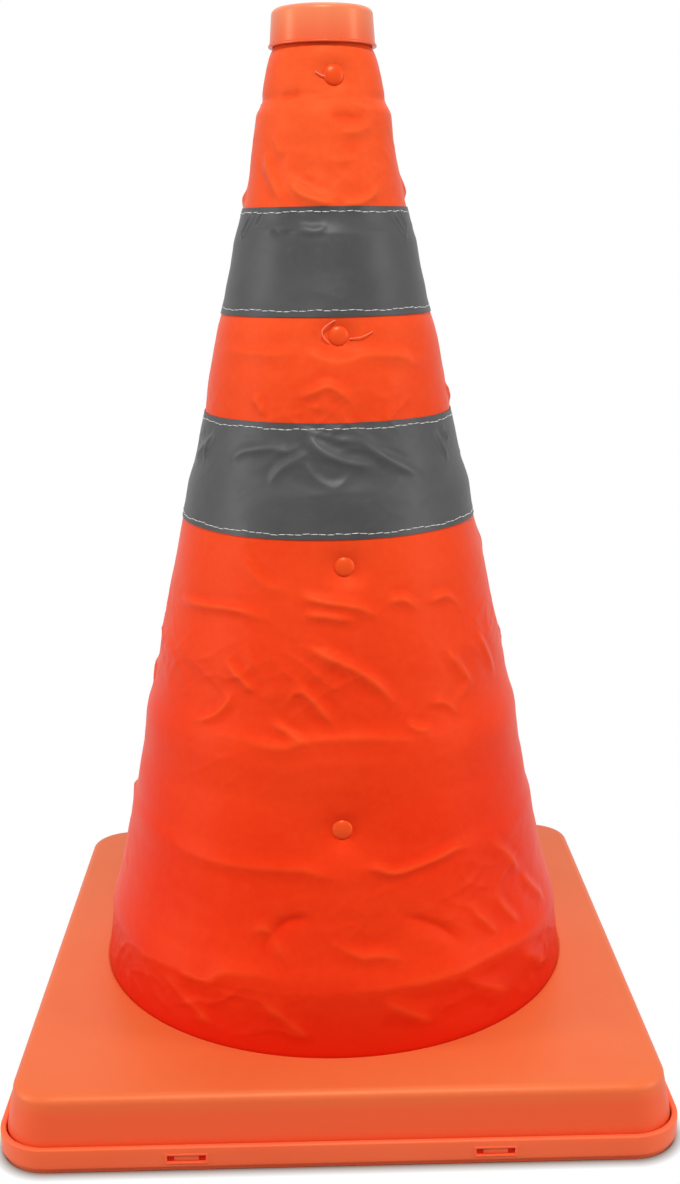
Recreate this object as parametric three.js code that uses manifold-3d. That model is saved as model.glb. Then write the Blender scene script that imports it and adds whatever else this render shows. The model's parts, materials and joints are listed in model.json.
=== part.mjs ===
// Collapsible traffic cone: a square two-piece base and nine telescoping tapered tiers under a sewn
// cloth sleeve with two reflective bands. Millimetres, +Z up, origin on the ground under the cone's axis,
// the row of rivets that shows faces -Y. Modelled standing, with every tier drawn out.

import * as THREE from "three";
import { mergeVertices } from "three/addons/utils/BufferGeometryUtils.js";
import Module from "manifold-3d";

const wasm = await Module();
wasm.setup();

// Driving dimensions: tray
const baseSize = 275;
const baseCorner = 21;
const trayRimHeight = 11.2;
const trayRimWall = 2.4;
const trayFloor = 2.2;
const trayEdgeRound = 0.7;
const trayRibHeight = 4;
const trayRibWall = 1.6;
const trayRibCount = 8;
const locatingRingHeight = 3;

// Driving dimensions: cover that snaps into the tray
const coverTop = 30.3;
const coverWall = 2.2;
const coverEdgeInset = 5.6;
const coverEdgeRound = 4;
const coverCorner = 18;
const coverFitGap = 0.6;
const openingClothRoom = 4.3;
const openingEdgeRound = 1.4;
const clampFootHeight = 5;
const clampWall = 1.8;

// Driving dimensions: snap windows in the tray rim and the catches of the cover in them
const windowWidth = 15.2;
const windowHeight = 3;
const windowRise = 4.6;
const windowSpread = 61;
const catchWidth = 10;
const catchEdgeGap = 0.4;
const catchReach = 2.4;

// Driving dimensions: telescoping tiers, 1 at the top; the collar under the last one is fixed in the base
const tierCount = 8;
const tierPitch = 50.3;
const tierStep = 10.7;
const tierOverlap = 7;
const tierWall = 1;
const topTierRise = 36.85;
const highestRimRadius = 25.9;
const collarRimHeight = 57.8;
const collarTaperDepth = 12;
const collarFlangeReach = 7;
const collarFlangeWall = 1.6;
const rimEdgeRound = 0.4;
const lipReach = 0.4;
const lipHeight = 1.2;
const headPassage = 2.75;
const footEdge = 1.2;
const footHeight = 5;
const footGap = 0.3;

// Driving dimensions: cap
const capHeight = 15.4;
const capClothRoom = 2.1;
const capTaper = 1.5;
const capEdgeRound = 3;
const capWall = 1.8;
const capLipHeight = 0.9;
const capLipReach = 0.35;
const capCrown = 0.4;
const spigotLength = 9;
const spigotWall = 1.2;

// Driving dimensions: cloth sleeve and the two bands sewn on it
const clothThickness = 0.45;
const bandThickness = 0.45;
const sleeveTuck = 4;
const foldDepth = 1.3;
const foldedTiers = [6, 8];
const rimFoldDepth = 0.5;
const foldWavesRound = 3;
const foldWavesCrossing = 2;
const bandSeats = [
  { name: "reflective_band_upper", tier: 3, rise: 16.9, height: 43.2 },
  { name: "reflective_band_lower", tier: 5, rise: 29.5, height: 45.8 },
];

// Driving dimensions: rivets; rise is above the rim of the tier below, turn is from the front towards +X
const rivetHeadRadius = 4.35;
const rivetHeadHeight = 2;
const rivetHeadEdge = 0.5;
const rivetShankRadius = 1.8;
const rivetEndRadius = 2.8;
const rivetEndHeight = 0.7;
const washerRadius = 3.8;
const washerThickness = 1.2;
const rivetSeats = [
  { tier: 1, rise: 10.8, turn: 11 },
  { tier: 3, rise: 9, turn: 5.7 },
  { tier: 5, rise: 18.1, turn: 4.8 },
  { tier: 7, rise: 13.3, turn: 1.9 },
];
const rivetSides = [
  { name: "front", turn: 0 },
  { name: "back", turn: 180 },
];

// Clearance between pieces that touch on the real cone
const contactGap = 0.25;

// Facet counts
const tierSegments = 36;
const capSegments = 36;
const rivetSegments = 12;
const clothHoleSegments = 4;
const cornerSegments = 6;
const sideSegments = 8;
const sleeveColumnsPerSide = 8;
const roundSegments = 3;

// Derived sizes
const collar = tierCount + 1;
const half = baseSize / 2;
const trayInnerHalf = half - trayRimWall;
const rimToWall = tierWall + lipReach + headPassage;
const tierSlope = (tierStep - rimToWall) / tierPitch;
const tierTilt = Math.atan(tierSlope);
const topTierTop = collarRimHeight + (tierCount - 1) * tierPitch + topTierRise;
const capTop = topTierTop + contactGap + capWall;
const capBottom = capTop - capHeight;
const holeRadius = rivetShankRadius + contactGap;

// Materials, one per finish
const finish = (color, roughness) => new THREE.MeshStandardMaterial({ color, roughness, metalness: 0 });
const trayPlastic = finish(0xe6623f, 0.45);
const coverPlastic = finish(0xf57341, 0.42);
const tierPlastic = finish(0xe86a3a, 0.5);
const capPlastic = finish(0xf57d50, 0.38);
const rivetPlastic = finish(0xf25a32, 0.3);
const sleeveCloth = finish(0xff4a22, 0.8);
const bandTape = finish(0x575758, 0.4);

// Heights and radii of the tiers
const rimHeight = (tier) => (tier === 1 ? topTierTop : collarRimHeight + (collar - tier) * tierPitch);
const rimRadius = (tier) => highestRimRadius + (tier - 2) * tierStep;
const tierBottom = (tier) => (tier === collar ? trayFloor + contactGap : rimHeight(tier + 1) - tierOverlap);

function wallRadius(tier, z) {
  if (tier === 1) {
    return rimRadius(2) - rimToWall + tierSlope * (rimHeight(2) - z);
  }
  const depth = rimHeight(tier) - z;
  return rimRadius(tier) + tierSlope * (tier === collar ? Math.min(depth, collarTaperDepth) : depth);
}

// The cover's mouth leaves room for the cloth round the collar, and the cap for the cloth round tier 1
const openingRadius = wallRadius(collar, coverTop) + openingClothRoom;
const capRadius = wallRadius(1, capBottom) + capClothRoom + capWall;

// Welds a geometry's shared vertices, drops collapsed triangles and turns its faces outwards
function weld(geometry) {
  const bare = geometry.index ? geometry.toNonIndexed() : geometry.clone();
  bare.deleteAttribute("normal");
  bare.deleteAttribute("uv");
  const merged = mergeVertices(bare, 1e-4);
  const position = merged.attributes.position;
  const corner = (i) => new THREE.Vector3().fromBufferAttribute(position, i);
  const kept = [];
  let volume = 0;
  for (let i = 0; i < merged.index.count; i += 3) {
    const [a, b, c] = [0, 1, 2].map((step) => merged.index.getX(i + step));
    if (a !== b && b !== c && c !== a) {
      kept.push(a, b, c);
      volume += corner(a).dot(corner(b).cross(corner(c)));
    }
  }
  if (volume < 0) {
    kept.reverse();
  }
  merged.setIndex(kept);
  return merged;
}

// A welded geometry as a solid that can be joined and cut
function solidOf(geometry) {
  const welded = weld(geometry);
  return new wasm.Manifold(
    new wasm.Mesh({
      numProp: 3,
      vertProperties: new Float32Array(welded.attributes.position.array),
      triVerts: new Uint32Array(welded.index.array),
    }),
  );
}

function geometryOf(solid) {
  const mesh = solid.getMesh();
  const geometry = new THREE.BufferGeometry();
  geometry.setAttribute("position", new THREE.BufferAttribute(new Float32Array(mesh.vertProperties), 3));
  geometry.setIndex(new THREE.BufferAttribute(new Uint32Array(mesh.triVerts), 1));
  return geometry;
}

// A profile of [radius, height] pairs turned about the Z axis; it is closed unless it ends on the axis
function turned(profile, segments) {
  const points = profile.map(([r, z]) => new THREE.Vector2(r, z));
  const onAxis = profile[0][0] === 0;
  if (!onAxis) {
    points.push(points[0].clone());
  }
  const geometry = new THREE.LatheGeometry(points, segments);
  geometry.rotateX(Math.PI / 2);
  return geometry;
}

// A quarter round between two corner points, as [across, along] pairs about a centre
function roundedCorner(centreAcross, centreAlong, radius, fromAngle, toAngle) {
  const points = [];
  for (let i = 0; i <= roundSegments; i++) {
    const angle = fromAngle + ((toAngle - fromAngle) * i) / roundSegments;
    points.push([centreAcross + radius * Math.cos(angle), centreAlong + radius * Math.sin(angle)]);
  }
  return points;
}

// Skins a row of rings with equally many points, closed into a loop or capped at both ends
function skin(rings, closed) {
  const count = rings[0].length;
  const index = [];
  const strips = closed ? rings.length : rings.length - 1;
  for (let ring = 0; ring < strips; ring++) {
    const from = ring * count;
    const to = ((ring + 1) % rings.length) * count;
    for (let i = 0; i < count; i++) {
      const j = (i + 1) % count;
      index.push(from + i, from + j, to + j, from + i, to + j, to + i);
    }
  }
  if (!closed) {
    const last = (rings.length - 1) * count;
    const flat = (ring) => ring.map((p) => new THREE.Vector2(p.x, p.y));
    for (const [a, b, c] of THREE.ShapeUtils.triangulateShape(flat(rings[0]), [])) {
      index.push(c, b, a);
    }
    for (const [a, b, c] of THREE.ShapeUtils.triangulateShape(flat(rings[rings.length - 1]), [])) {
      index.push(last + a, last + b, last + c);
    }
  }
  const geometry = new THREE.BufferGeometry();
  geometry.setAttribute(
    "position",
    new THREE.Float32BufferAttribute(rings.flat().flatMap((p) => [p.x, p.y, p.z]), 3),
  );
  geometry.setIndex(index);
  return geometry;
}

// A square outline with round corners, as one ring of points at height z
function squareRing(halfWidth, corner, z) {
  const ring = [];
  const centre = halfWidth - corner;
  for (let quarter = 0; quarter < 4; quarter++) {
    const turn = (quarter * Math.PI) / 2;
    const place = (x, y) => new THREE.Vector3(x, y, z).applyAxisAngle(new THREE.Vector3(0, 0, 1), turn);
    for (let i = 0; i < cornerSegments; i++) {
      const angle = ((i / cornerSegments) * Math.PI) / 2;
      ring.push(place(centre + corner * Math.cos(angle), centre + corner * Math.sin(angle)));
    }
    for (let i = 0; i < sideSegments; i++) {
      ring.push(place(centre - (2 * centre * i) / sideSegments, halfWidth));
    }
  }
  return ring;
}

// A round ring whose points lie in the same directions as those of the square outline
function roundRing(radius, z) {
  return squareRing(half, baseCorner, 0).map((p) => p.setZ(0).setLength(radius).setZ(z));
}

// How much the widest facet of a round ring falls inside its circle
const ringSag = Math.max(
  ...roundRing(1, 0).map((p, i, ring) => p.angleTo(ring[(i + 1) % ring.length]) / 2),
);
const tierSag = Math.cos(Math.PI / tierSegments);

// One block for each snap window: both places on each of the four sides
function snapPlaces() {
  const places = [];
  for (let side = 0; side < 4; side++) {
    for (const offset of [-windowSpread, windowSpread]) {
      places.push({ turn: (side * Math.PI) / 2, offset });
    }
  }
  return places;
}

function baseTray() {
  const inner = (z) => squareRing(trayInnerHalf, baseCorner - trayRimWall, z);
  const outer = (inset, z) => squareRing(half - inset, baseCorner - inset, z);
  const shell = skin(
    [
      outer(trayEdgeRound, 0),
      outer(0, trayEdgeRound),
      outer(0, trayRimHeight - trayEdgeRound),
      outer(trayEdgeRound, trayRimHeight),
      inner(trayRimHeight),
      inner(trayFloor),
    ],
    false,
  );
  let tray = solidOf(shell);

  const ringInner = (wallRadius(collar, tierBottom(collar)) + collarFlangeReach + contactGap) / tierSag;
  const ringOuter = ringInner + trayRibWall;
  const ringTop = trayFloor + locatingRingHeight;
  const ringBottom = trayFloor / 2;
  const ring = turned(
    [[ringInner, ringBottom], [ringOuter, ringBottom], [ringOuter, ringTop], [ringInner, ringTop]],
    tierSegments,
  );
  tray = tray.add(solidOf(ring));

  const ribFrom = ringOuter - trayRibWall / 2;
  const skirtInner = trayInnerHalf - coverFitGap - coverWall - coverFitGap;
  for (let i = 0; i < trayRibCount; i++) {
    const turn = (i * 2 * Math.PI) / trayRibCount;
    const toSide = skirtInner / Math.max(Math.abs(Math.cos(turn)), Math.abs(Math.sin(turn)));
    const ribTo = Math.min(toSide, skirtInner * Math.SQRT2 - coverCorner);
    const rib = new THREE.BoxGeometry(ribTo - ribFrom, trayRibWall, trayRibHeight + trayFloor - ringBottom);
    rib.translate((ribFrom + ribTo) / 2, 0, (trayFloor + trayRibHeight + ringBottom) / 2);
    rib.rotateZ(turn);
    tray = tray.add(solidOf(rib));
  }

  for (const place of snapPlaces()) {
    const cut = new THREE.BoxGeometry(trayRimWall * 2, windowWidth, windowHeight);
    cut.translate(half - trayRimWall / 2, place.offset, windowRise + windowHeight / 2);
    cut.rotateZ(place.turn);
    tray = tray.subtract(solidOf(cut));
  }
  return geometryOf(tray);
}

function baseCover() {
  const skirtHalf = trayInnerHalf - coverFitGap;
  const skirtFoot = trayFloor + contactGap;
  const edgeHalf = half - coverEdgeInset;
  const skirtCorner = baseCorner - trayRimWall - coverFitGap;
  const square = ([halfWidth, z]) => {
    const inset = skirtHalf - halfWidth;
    return squareRing(halfWidth, Math.max(skirtCorner - inset, coverEdgeRound), z);
  };
  const topRound = roundedCorner(
    edgeHalf - coverEdgeRound, coverTop - coverEdgeRound, coverEdgeRound, 0, Math.PI / 2,
  );
  const underRound = roundedCorner(
    edgeHalf - coverEdgeRound, coverTop - coverEdgeRound, coverEdgeRound - coverWall, Math.PI / 2, 0,
  );
  const mouthRound = roundedCorner(
    openingRadius + openingEdgeRound, coverTop - openingEdgeRound, openingEdgeRound, Math.PI / 2, Math.PI,
  );
  const clampRadius = sleeveHemRadius() + clothThickness + contactGap;
  const clampInner = clampRadius / Math.cos(ringSag);
  const clampOuter = clampInner + clampWall;
  const round = ([radius, z]) => roundRing(radius, z);
  const rings = [
    square([skirtHalf, skirtFoot]),
    square([skirtHalf, trayRimHeight]),
    ...topRound.map(square),
    ...mouthRound.map(round),
    round([clampInner, clampFootHeight]),
    round([clampOuter, clampFootHeight]),
    round([clampOuter, coverTop - coverWall]),
    ...underRound.map(square),
    square([skirtHalf - coverWall, trayRimHeight]),
    square([skirtHalf - coverWall, skirtFoot]),
  ];
  let cover = solidOf(skin(rings, true));

  for (const place of snapPlaces()) {
    const bottom = windowRise + catchEdgeGap;
    const top = windowRise + windowHeight - catchEdgeGap;
    const root = skirtHalf - coverWall / 2;
    const nose = skirtHalf + catchReach;
    const wedge = new THREE.Shape([
      new THREE.Vector2(root, bottom),
      new THREE.Vector2(nose - catchReach / 2, bottom),
      new THREE.Vector2(nose, top - catchEdgeGap),
      new THREE.Vector2(nose, top),
      new THREE.Vector2(root, top),
    ]);
    const tongue = new THREE.ExtrudeGeometry(wedge, { depth: catchWidth, bevelEnabled: false });
    tongue.translate(0, 0, -catchWidth / 2);
    tongue.rotateX(Math.PI / 2);
    tongue.translate(0, place.offset, 0);
    tongue.rotateZ(place.turn);
    cover = cover.add(solidOf(tongue));
  }
  return geometryOf(cover);
}

// The profile of one tier: a thin taper with a stop lip at the rim and a flared foot that wedges in the
// tier below; the collar is straight under its taper and has a flange in place of the foot
function tierGeometry(tier) {
  const top = rimHeight(tier);
  const bottom = tierBottom(tier);
  const rim = wallRadius(tier, top);
  const head = [
    [rim - tierWall - lipReach, top],
    [rim - rimEdgeRound, top],
    [rim, top - rimEdgeRound],
  ];
  const lip = [
    [wallRadius(tier, top - lipHeight) - tierWall, top - lipHeight - lipReach],
    [rim - tierWall - lipReach, top - lipHeight],
  ];
  if (tier === collar) {
    const flangeRadius = wallRadius(tier, bottom) + collarFlangeReach;
    const flangeTop = bottom + collarFlangeWall;
    const taperEnd = top - collarTaperDepth;
    return turned(
      [
        ...head,
        [wallRadius(tier, taperEnd), taperEnd],
        [wallRadius(tier, flangeTop), flangeTop],
        [flangeRadius, flangeTop],
        [flangeRadius, bottom],
        [wallRadius(tier, bottom) - tierWall, bottom],
        [wallRadius(tier, taperEnd) - tierWall, taperEnd],
        ...lip,
      ],
      tierSegments,
    );
  }
  const footRadius = wallRadius(tier + 1, bottom + footEdge) - tierWall - footGap;
  return turned(
    [
      ...head,
      [wallRadius(tier, bottom + footHeight), bottom + footHeight],
      [footRadius, bottom + footEdge],
      [footRadius, bottom],
      [footRadius - tierWall, bottom],
      [wallRadius(tier, bottom + footHeight) - tierWall, bottom + footHeight],
      ...lip,
    ],
    tierSegments,
  );
}

// Where a rivet sits: its height, wall radii, and the turn about the axis in radians
function rivetPlace(seat, side) {
  const z = rimHeight(seat.tier + 1) + seat.rise;
  const outer = wallRadius(seat.tier, z);
  return { z, outer, inner: outer - tierWall, turn: THREE.MathUtils.degToRad(seat.turn + side.turn) };
}

// Moves a geometry modelled along +Z to a rivet's seat, with +Z along the outward normal of the wall
function toRivet(geometry, place) {
  geometry.rotateX(Math.PI / 2 - tierTilt);
  geometry.translate(0, -place.outer, place.z);
  geometry.rotateZ(place.turn);
  return geometry;
}

function rivetHole(place, segments) {
  const reach = rivetHeadHeight + washerRadius;
  const radius = (holeRadius * Math.cos(Math.PI / rivetSegments)) / Math.cos(Math.PI / segments);
  const drill = new THREE.CylinderGeometry(radius, radius, reach * 2, segments);
  drill.rotateX(Math.PI / 2);
  return solidOf(toRivet(drill, place));
}

function section(tier) {
  let solid = solidOf(tierGeometry(tier));
  for (const seat of rivetSeats.filter((entry) => entry.tier === tier)) {
    for (const side of rivetSides) {
      solid = solid.subtract(rivetHole(rivetPlace(seat, side), rivetSegments));
    }
  }
  return geometryOf(solid);
}

// How deep the washer lies under the wall's outer face, where the round wall meets its flat edge
function washerDepth(place) {
  const chord = Math.sqrt(place.inner ** 2 - washerRadius ** 2) * tierSag;
  return place.outer - chord + contactGap;
}

function rivet(place) {
  const under = contactGap + clothThickness + contactGap;
  const domeHeight = rivetHeadHeight - rivetHeadEdge;
  const dome = [];
  for (let i = 0; i <= roundSegments; i++) {
    const angle = ((i / roundSegments) * Math.PI) / 2;
    dome.push([rivetHeadRadius * Math.sin(angle), under + rivetHeadEdge + domeHeight * Math.cos(angle)]);
  }
  const endTop = -(washerDepth(place) + washerThickness + contactGap);
  const profile = [
    ...dome,
    [rivetHeadRadius, under],
    [rivetShankRadius, under],
    [rivetShankRadius, endTop],
    [rivetEndRadius, endTop],
    [rivetEndRadius, endTop - rivetEndHeight],
    [0, endTop - rivetEndHeight],
  ];
  return weld(toRivet(turned(profile, rivetSegments), place));
}

function rivetWasher(place) {
  const top = -washerDepth(place);
  const bottom = top - washerThickness;
  const profile = [[holeRadius, bottom], [washerRadius, bottom], [washerRadius, top], [holeRadius, top]];
  return weld(toRivet(turned(profile, rivetSegments), place));
}

function topCap() {
  const upperRadius = capRadius - capTaper;
  const inside = capRadius - capWall;
  const spigotRadius = wallRadius(1, topTierTop) - tierWall - lipReach - contactGap;
  const crown = roundedCorner(
    upperRadius - capEdgeRound, capTop - capCrown - capEdgeRound, capEdgeRound, 0, Math.PI / 2,
  );
  const ceiling = capTop - capWall;
  const profile = [
    [0, capTop],
    ...crown.reverse(),
    [capRadius - capLipReach, capBottom + capLipHeight],
    [capRadius, capBottom + capLipHeight],
    [capRadius, capBottom],
    [inside, capBottom],
    [upperRadius - capWall, ceiling],
    [spigotRadius, ceiling],
    [spigotRadius, ceiling - spigotLength],
    [spigotRadius - spigotWall, ceiling - spigotLength],
    [spigotRadius - spigotWall, ceiling],
    [0, ceiling],
  ];
  return weld(turned(profile, capSegments));
}

// The rivet row wanders a little from tier to tier: its turn at a height, in radians
function rivetRowTurn(z) {
  const marks = rivetSeats.map((seat) => rivetPlace(seat, rivetSides[0])).sort((a, b) => a.z - b.z);
  if (z <= marks[0].z) {
    return marks[0].turn;
  }
  for (let i = 1; i < marks.length; i++) {
    if (z <= marks[i].z) {
      const share = (z - marks[i - 1].z) / (marks[i].z - marks[i - 1].z);
      return THREE.MathUtils.lerp(marks[i - 1].turn, marks[i].turn, share);
    }
  }
  return marks[marks.length - 1].turn;
}

// The cloth is skinned in columns: two pairs beside each rivet row and even ones between the rows
const dimpleHalf = rivetHeadRadius + contactGap;
const evenSpacing = Math.PI / (sleeveColumnsPerSide + 1);
const sleeveSag = Math.cos(evenSpacing / 2);

function sleeveColumns(radius, z) {
  const near = Math.asin(dimpleHalf / radius);
  const far = near * 2;
  const columns = [];
  for (const side of rivetSides) {
    const row = rivetRowTurn(z) + THREE.MathUtils.degToRad(side.turn);
    columns.push({ turn: row - near, pinned: true }, { turn: row + near, pinned: true });
    for (let i = 0; i <= sleeveColumnsPerSide + 1; i++) {
      const share = i / (sleeveColumnsPerSide + 1);
      columns.push({ turn: row + far + share * (Math.PI - 2 * far), pinned: false });
    }
  }
  return columns;
}

// Inside radius of the cloth at the hem, where the cover clamps it round the collar
function sleeveHemRadius() {
  return (wallRadius(collar, tierBottom(collar) + collarFlangeWall) + contactGap) / sleeveSag;
}

// The heights at which the cloth changes direction, from the cap to the hem, with its inside radius
function sleeveRows() {
  const capNarrowing = (capTaper * sleeveTuck) / (capHeight - capWall);
  const capMouth = (capRadius - capWall - capNarrowing) * Math.cos(Math.PI / capSegments);
  const capInside = capMouth - contactGap - clothThickness;
  const rows = [
    { z: capBottom + sleeveTuck, radius: capInside, fold: 0 },
    { z: capBottom - contactGap, radius: capInside, fold: 0 },
  ];
  for (let tier = 2; tier <= collar; tier++) {
    const radius = (rimRadius(tier) + contactGap) / sleeveSag;
    rows.push({ z: rimHeight(tier) + contactGap, radius, fold: rimFoldDepth });
  }
  const mouth = openingRadius * Math.cos(ringSag) - contactGap - clothThickness;
  rows.push({ z: coverTop, radius: mouth, fold: 0 });
  const hemHeight = trayFloor + contactGap + collarFlangeWall + contactGap;
  rows.push({ z: hemHeight, radius: sleeveHemRadius(), fold: 0 });

  const radiusAt = (z) => {
    const below = rows.findIndex((row) => row.z <= z);
    const [upper, lower] = [rows[below - 1], rows[below]];
    return THREE.MathUtils.lerp(lower.radius, upper.radius, (z - lower.z) / (upper.z - lower.z));
  };
  const added = [];
  for (const tier of foldedTiers) {
    const z = (rimHeight(tier) + rimHeight(tier + 1)) / 2;
    added.push({ z, radius: radiusAt(z), fold: foldDepth });
  }
  for (const seat of rivetSeats) {
    const place = rivetPlace(seat, rivetSides[0]);
    for (const z of [place.z + dimpleHalf, place.z - dimpleHalf]) {
      const pinned = wallRadius(seat.tier, z) + contactGap;
      added.push({ z, radius: radiusAt(z), fold: 0, pinned });
    }
  }
  return [...rows, ...added].sort((a, b) => b.z - a.z);
}

// One ring of the cloth: pulled in to the tier at the rivets, and with soft folds elsewhere
function sleeveRing(row, offset) {
  return sleeveColumns(row.radius, row.z).map((column) => {
    let radius = row.radius;
    if (column.pinned && row.pinned) {
      radius = Math.hypot(row.pinned, dimpleHalf);
    } else if (!column.pinned) {
      const round = Math.sin(foldWavesRound * column.turn + row.z / tierPitch);
      const crossing = Math.sin(foldWavesCrossing * column.turn - row.z / tierStep);
      radius += (row.fold * (1 + round * crossing)) / 2;
    }
    const reach = radius + offset;
    return new THREE.Vector3(reach * Math.sin(column.turn), -reach * Math.cos(column.turn), row.z);
  });
}

// The room inside the cloth, grown outwards by an offset and run on past both ends by an overrun
function sleeveCore(offset, overrun) {
  const rings = sleeveRows().map((row) => sleeveRing(row, offset));
  const moved = (ring, rise) => ring.map((p) => p.clone().setZ(p.z + rise));
  if (overrun > 0) {
    rings.unshift(moved(rings[0], overrun));
    rings.push(moved(rings[rings.length - 1], -overrun));
  }
  return solidOf(skin(rings, false));
}

function fabricSleeve() {
  let sleeve = sleeveCore(clothThickness, 0).subtract(sleeveCore(0, sleeveTuck));
  for (const seat of rivetSeats) {
    for (const side of rivetSides) {
      sleeve = sleeve.subtract(rivetHole(rivetPlace(seat, side), clothHoleSegments));
    }
  }
  return geometryOf(sleeve);
}

// A band lies on the cloth: the cloth's own surface grown outwards, cut off at the band's two edges
function reflectiveBand(seat) {
  const lower = rimHeight(seat.tier + 1) + seat.rise;
  const slab = new THREE.BoxGeometry(baseSize, baseSize, seat.height);
  slab.translate(0, 0, lower + seat.height / 2);
  const under = clothThickness + contactGap;
  const outside = sleeveCore(under + bandThickness, 0).intersect(solidOf(slab));
  return geometryOf(outside.subtract(sleeveCore(under, 0)));
}

const cone = new THREE.Group();

function addPiece(name, geometry, material) {
  const mesh = new THREE.Mesh(geometry, material.clone());
  mesh.name = name;
  cone.add(mesh);
}

addPiece("base_tray", baseTray(), trayPlastic);
addPiece("base_cover", baseCover(), coverPlastic);
addPiece("collar_ring", geometryOf(solidOf(tierGeometry(collar))), tierPlastic);
for (let tier = 1; tier <= tierCount; tier++) {
  addPiece(`section_${tier}`, section(tier), tierPlastic);
}
addPiece("top_cap", topCap(), capPlastic);
for (const seat of rivetSeats) {
  for (const side of rivetSides) {
    const place = rivetPlace(seat, side);
    addPiece(`rivet_${side.name}_${seat.tier}`, rivet(place), rivetPlastic);
    addPiece(`rivet_washer_${side.name}_${seat.tier}`, rivetWasher(place), tierPlastic);
  }
}
addPiece("fabric_sleeve", fabricSleeve(), sleeveCloth);
for (const seat of bandSeats) {
  addPiece(seat.name, reflectiveBand(seat), bandTape);
}

export default cone;
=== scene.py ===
"""A collapsible traffic cone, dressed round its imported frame.

Every size is in metres. The frame says where each tier's rim, each rivet and each band is, and the
cloth, its folds, its bands and its seams are laid over them. A place on the cloth is a turn in degrees
from the front towards +X, and a level: level 5 is the rim of tier 5, and level 5.5 is halfway down from
there to the rim of tier 6.
"""

import json
import math

import bmesh
import bpy
import numpy as np
from bmesh.types import BMEdge, BMFace, BMVert
from mathutils import Matrix, Vector, noise


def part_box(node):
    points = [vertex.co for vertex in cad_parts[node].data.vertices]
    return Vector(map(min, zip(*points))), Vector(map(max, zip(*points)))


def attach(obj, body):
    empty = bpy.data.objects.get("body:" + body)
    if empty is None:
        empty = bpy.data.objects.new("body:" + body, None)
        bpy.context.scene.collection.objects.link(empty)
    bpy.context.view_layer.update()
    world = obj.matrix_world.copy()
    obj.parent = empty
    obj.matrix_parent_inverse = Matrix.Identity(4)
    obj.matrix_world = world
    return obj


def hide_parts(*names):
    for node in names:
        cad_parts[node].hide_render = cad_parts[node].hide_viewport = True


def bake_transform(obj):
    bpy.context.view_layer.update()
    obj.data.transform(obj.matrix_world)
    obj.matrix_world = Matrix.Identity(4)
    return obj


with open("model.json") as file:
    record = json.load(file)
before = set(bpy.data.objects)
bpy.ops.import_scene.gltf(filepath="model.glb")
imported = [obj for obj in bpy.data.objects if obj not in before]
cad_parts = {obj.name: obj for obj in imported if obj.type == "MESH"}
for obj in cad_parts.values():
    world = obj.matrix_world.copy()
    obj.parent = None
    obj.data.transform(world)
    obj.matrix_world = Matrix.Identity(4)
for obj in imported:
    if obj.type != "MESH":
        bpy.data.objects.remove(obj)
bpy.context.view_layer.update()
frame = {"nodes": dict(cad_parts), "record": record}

MM = 0.001
SAME_PLACE = 0.001 * MM

# Tiers: 1 is the top one, and the collar under tier 8 is fixed in the base
COLLAR = 9
TIER_NODES = {tier: f"section_{tier}" for tier in range(1, COLLAR)} | {COLLAR: "collar_ring"}
TIER_BODIES = {tier: f"tier_{tier}" for tier in range(1, COLLAR)} | {COLLAR: "base"}
RIVETED_TIERS = (1, 3, 5, 7)
RIVET_SIDES = ("front", "back")

# Base
TRAY_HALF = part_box("base_tray")[1].x
TRAY_CORNER = 21 * MM
TRAY_RIM_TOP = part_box("base_tray")[1].z
TRAY_WALL = 2.4 * MM
TRAY_FLOOR = 2.2 * MM
TRAY_EDGE = 0.8 * MM
FOOT_RISE = 2.2 * MM
FOOT_INSET = 1.2 * MM
COVER_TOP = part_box("base_cover")[1].z
COVER_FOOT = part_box("base_cover")[0].z
COVER_WALL = 2.2 * MM
COVER_FIT_GAP = 0.6 * MM
COVER_INSET = 5.6 * MM
COVER_CORNER = 18 * MM
COVER_EDGE = 4 * MM
OPENING_EDGE = 1.4 * MM
OPENING_ROOM = 4.3 * MM
CLAMP_FOOT = 5 * MM
CLAMP_TAPER = 0.3 * MM
CORNER_STEPS = 20
RING_STEPS = 144

# Snap windows in the tray's rim, two on each side
WINDOW_WIDTH = 15.2 * MM
WINDOW_BOTTOM = 4.6 * MM
WINDOW_HEIGHT = 3 * MM
WINDOW_TOP = WINDOW_BOTTOM + WINDOW_HEIGHT
WINDOW_MIDDLE = WINDOW_BOTTOM + WINDOW_HEIGHT / 2
WINDOW_SPREAD = 61 * MM
WINDOW_LIP = 0.7 * MM
WINDOW_LIP_RISE = 0.3 * MM
WINDOW_LIP_SUNK = 0.3 * MM
WINDOW_LIP_EDGE = 0.1 * MM
BOSS_DEPTH = 0.8 * MM
CATCH_WIDTH = 9.8 * MM
CATCH_EDGE_GAP = 0.16 * MM
CATCH_REACH = 2.86 * MM
CATCH_LEAD_IN = 0.4 * MM
CATCH_EDGE = 0.2 * MM
PLATE_PLAY = 0.1 * MM

# Cap
CAP_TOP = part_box("top_cap")[1].z
CAP_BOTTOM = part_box("top_cap")[0].z
CAP_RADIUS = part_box("top_cap")[1].x
CAP_TAPER = 1.5 * MM
CAP_EDGE = 2.6 * MM
CAP_WALL = 1.8 * MM
CAP_LIP_HEIGHT = 0.9 * MM
CAP_LIP_REACH = 0.35 * MM
CAP_LIP_ROUND = 0.35 * MM
CAP_FOOT_ROUND = 0.3 * MM
CAP_CROWN = 0.25 * MM
CAP_STEPS = 128
SPIGOT_INSET = 1.65 * MM
SPIGOT_WALL = 1.2 * MM
SPIGOT_DEPTH = 9 * MM

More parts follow.
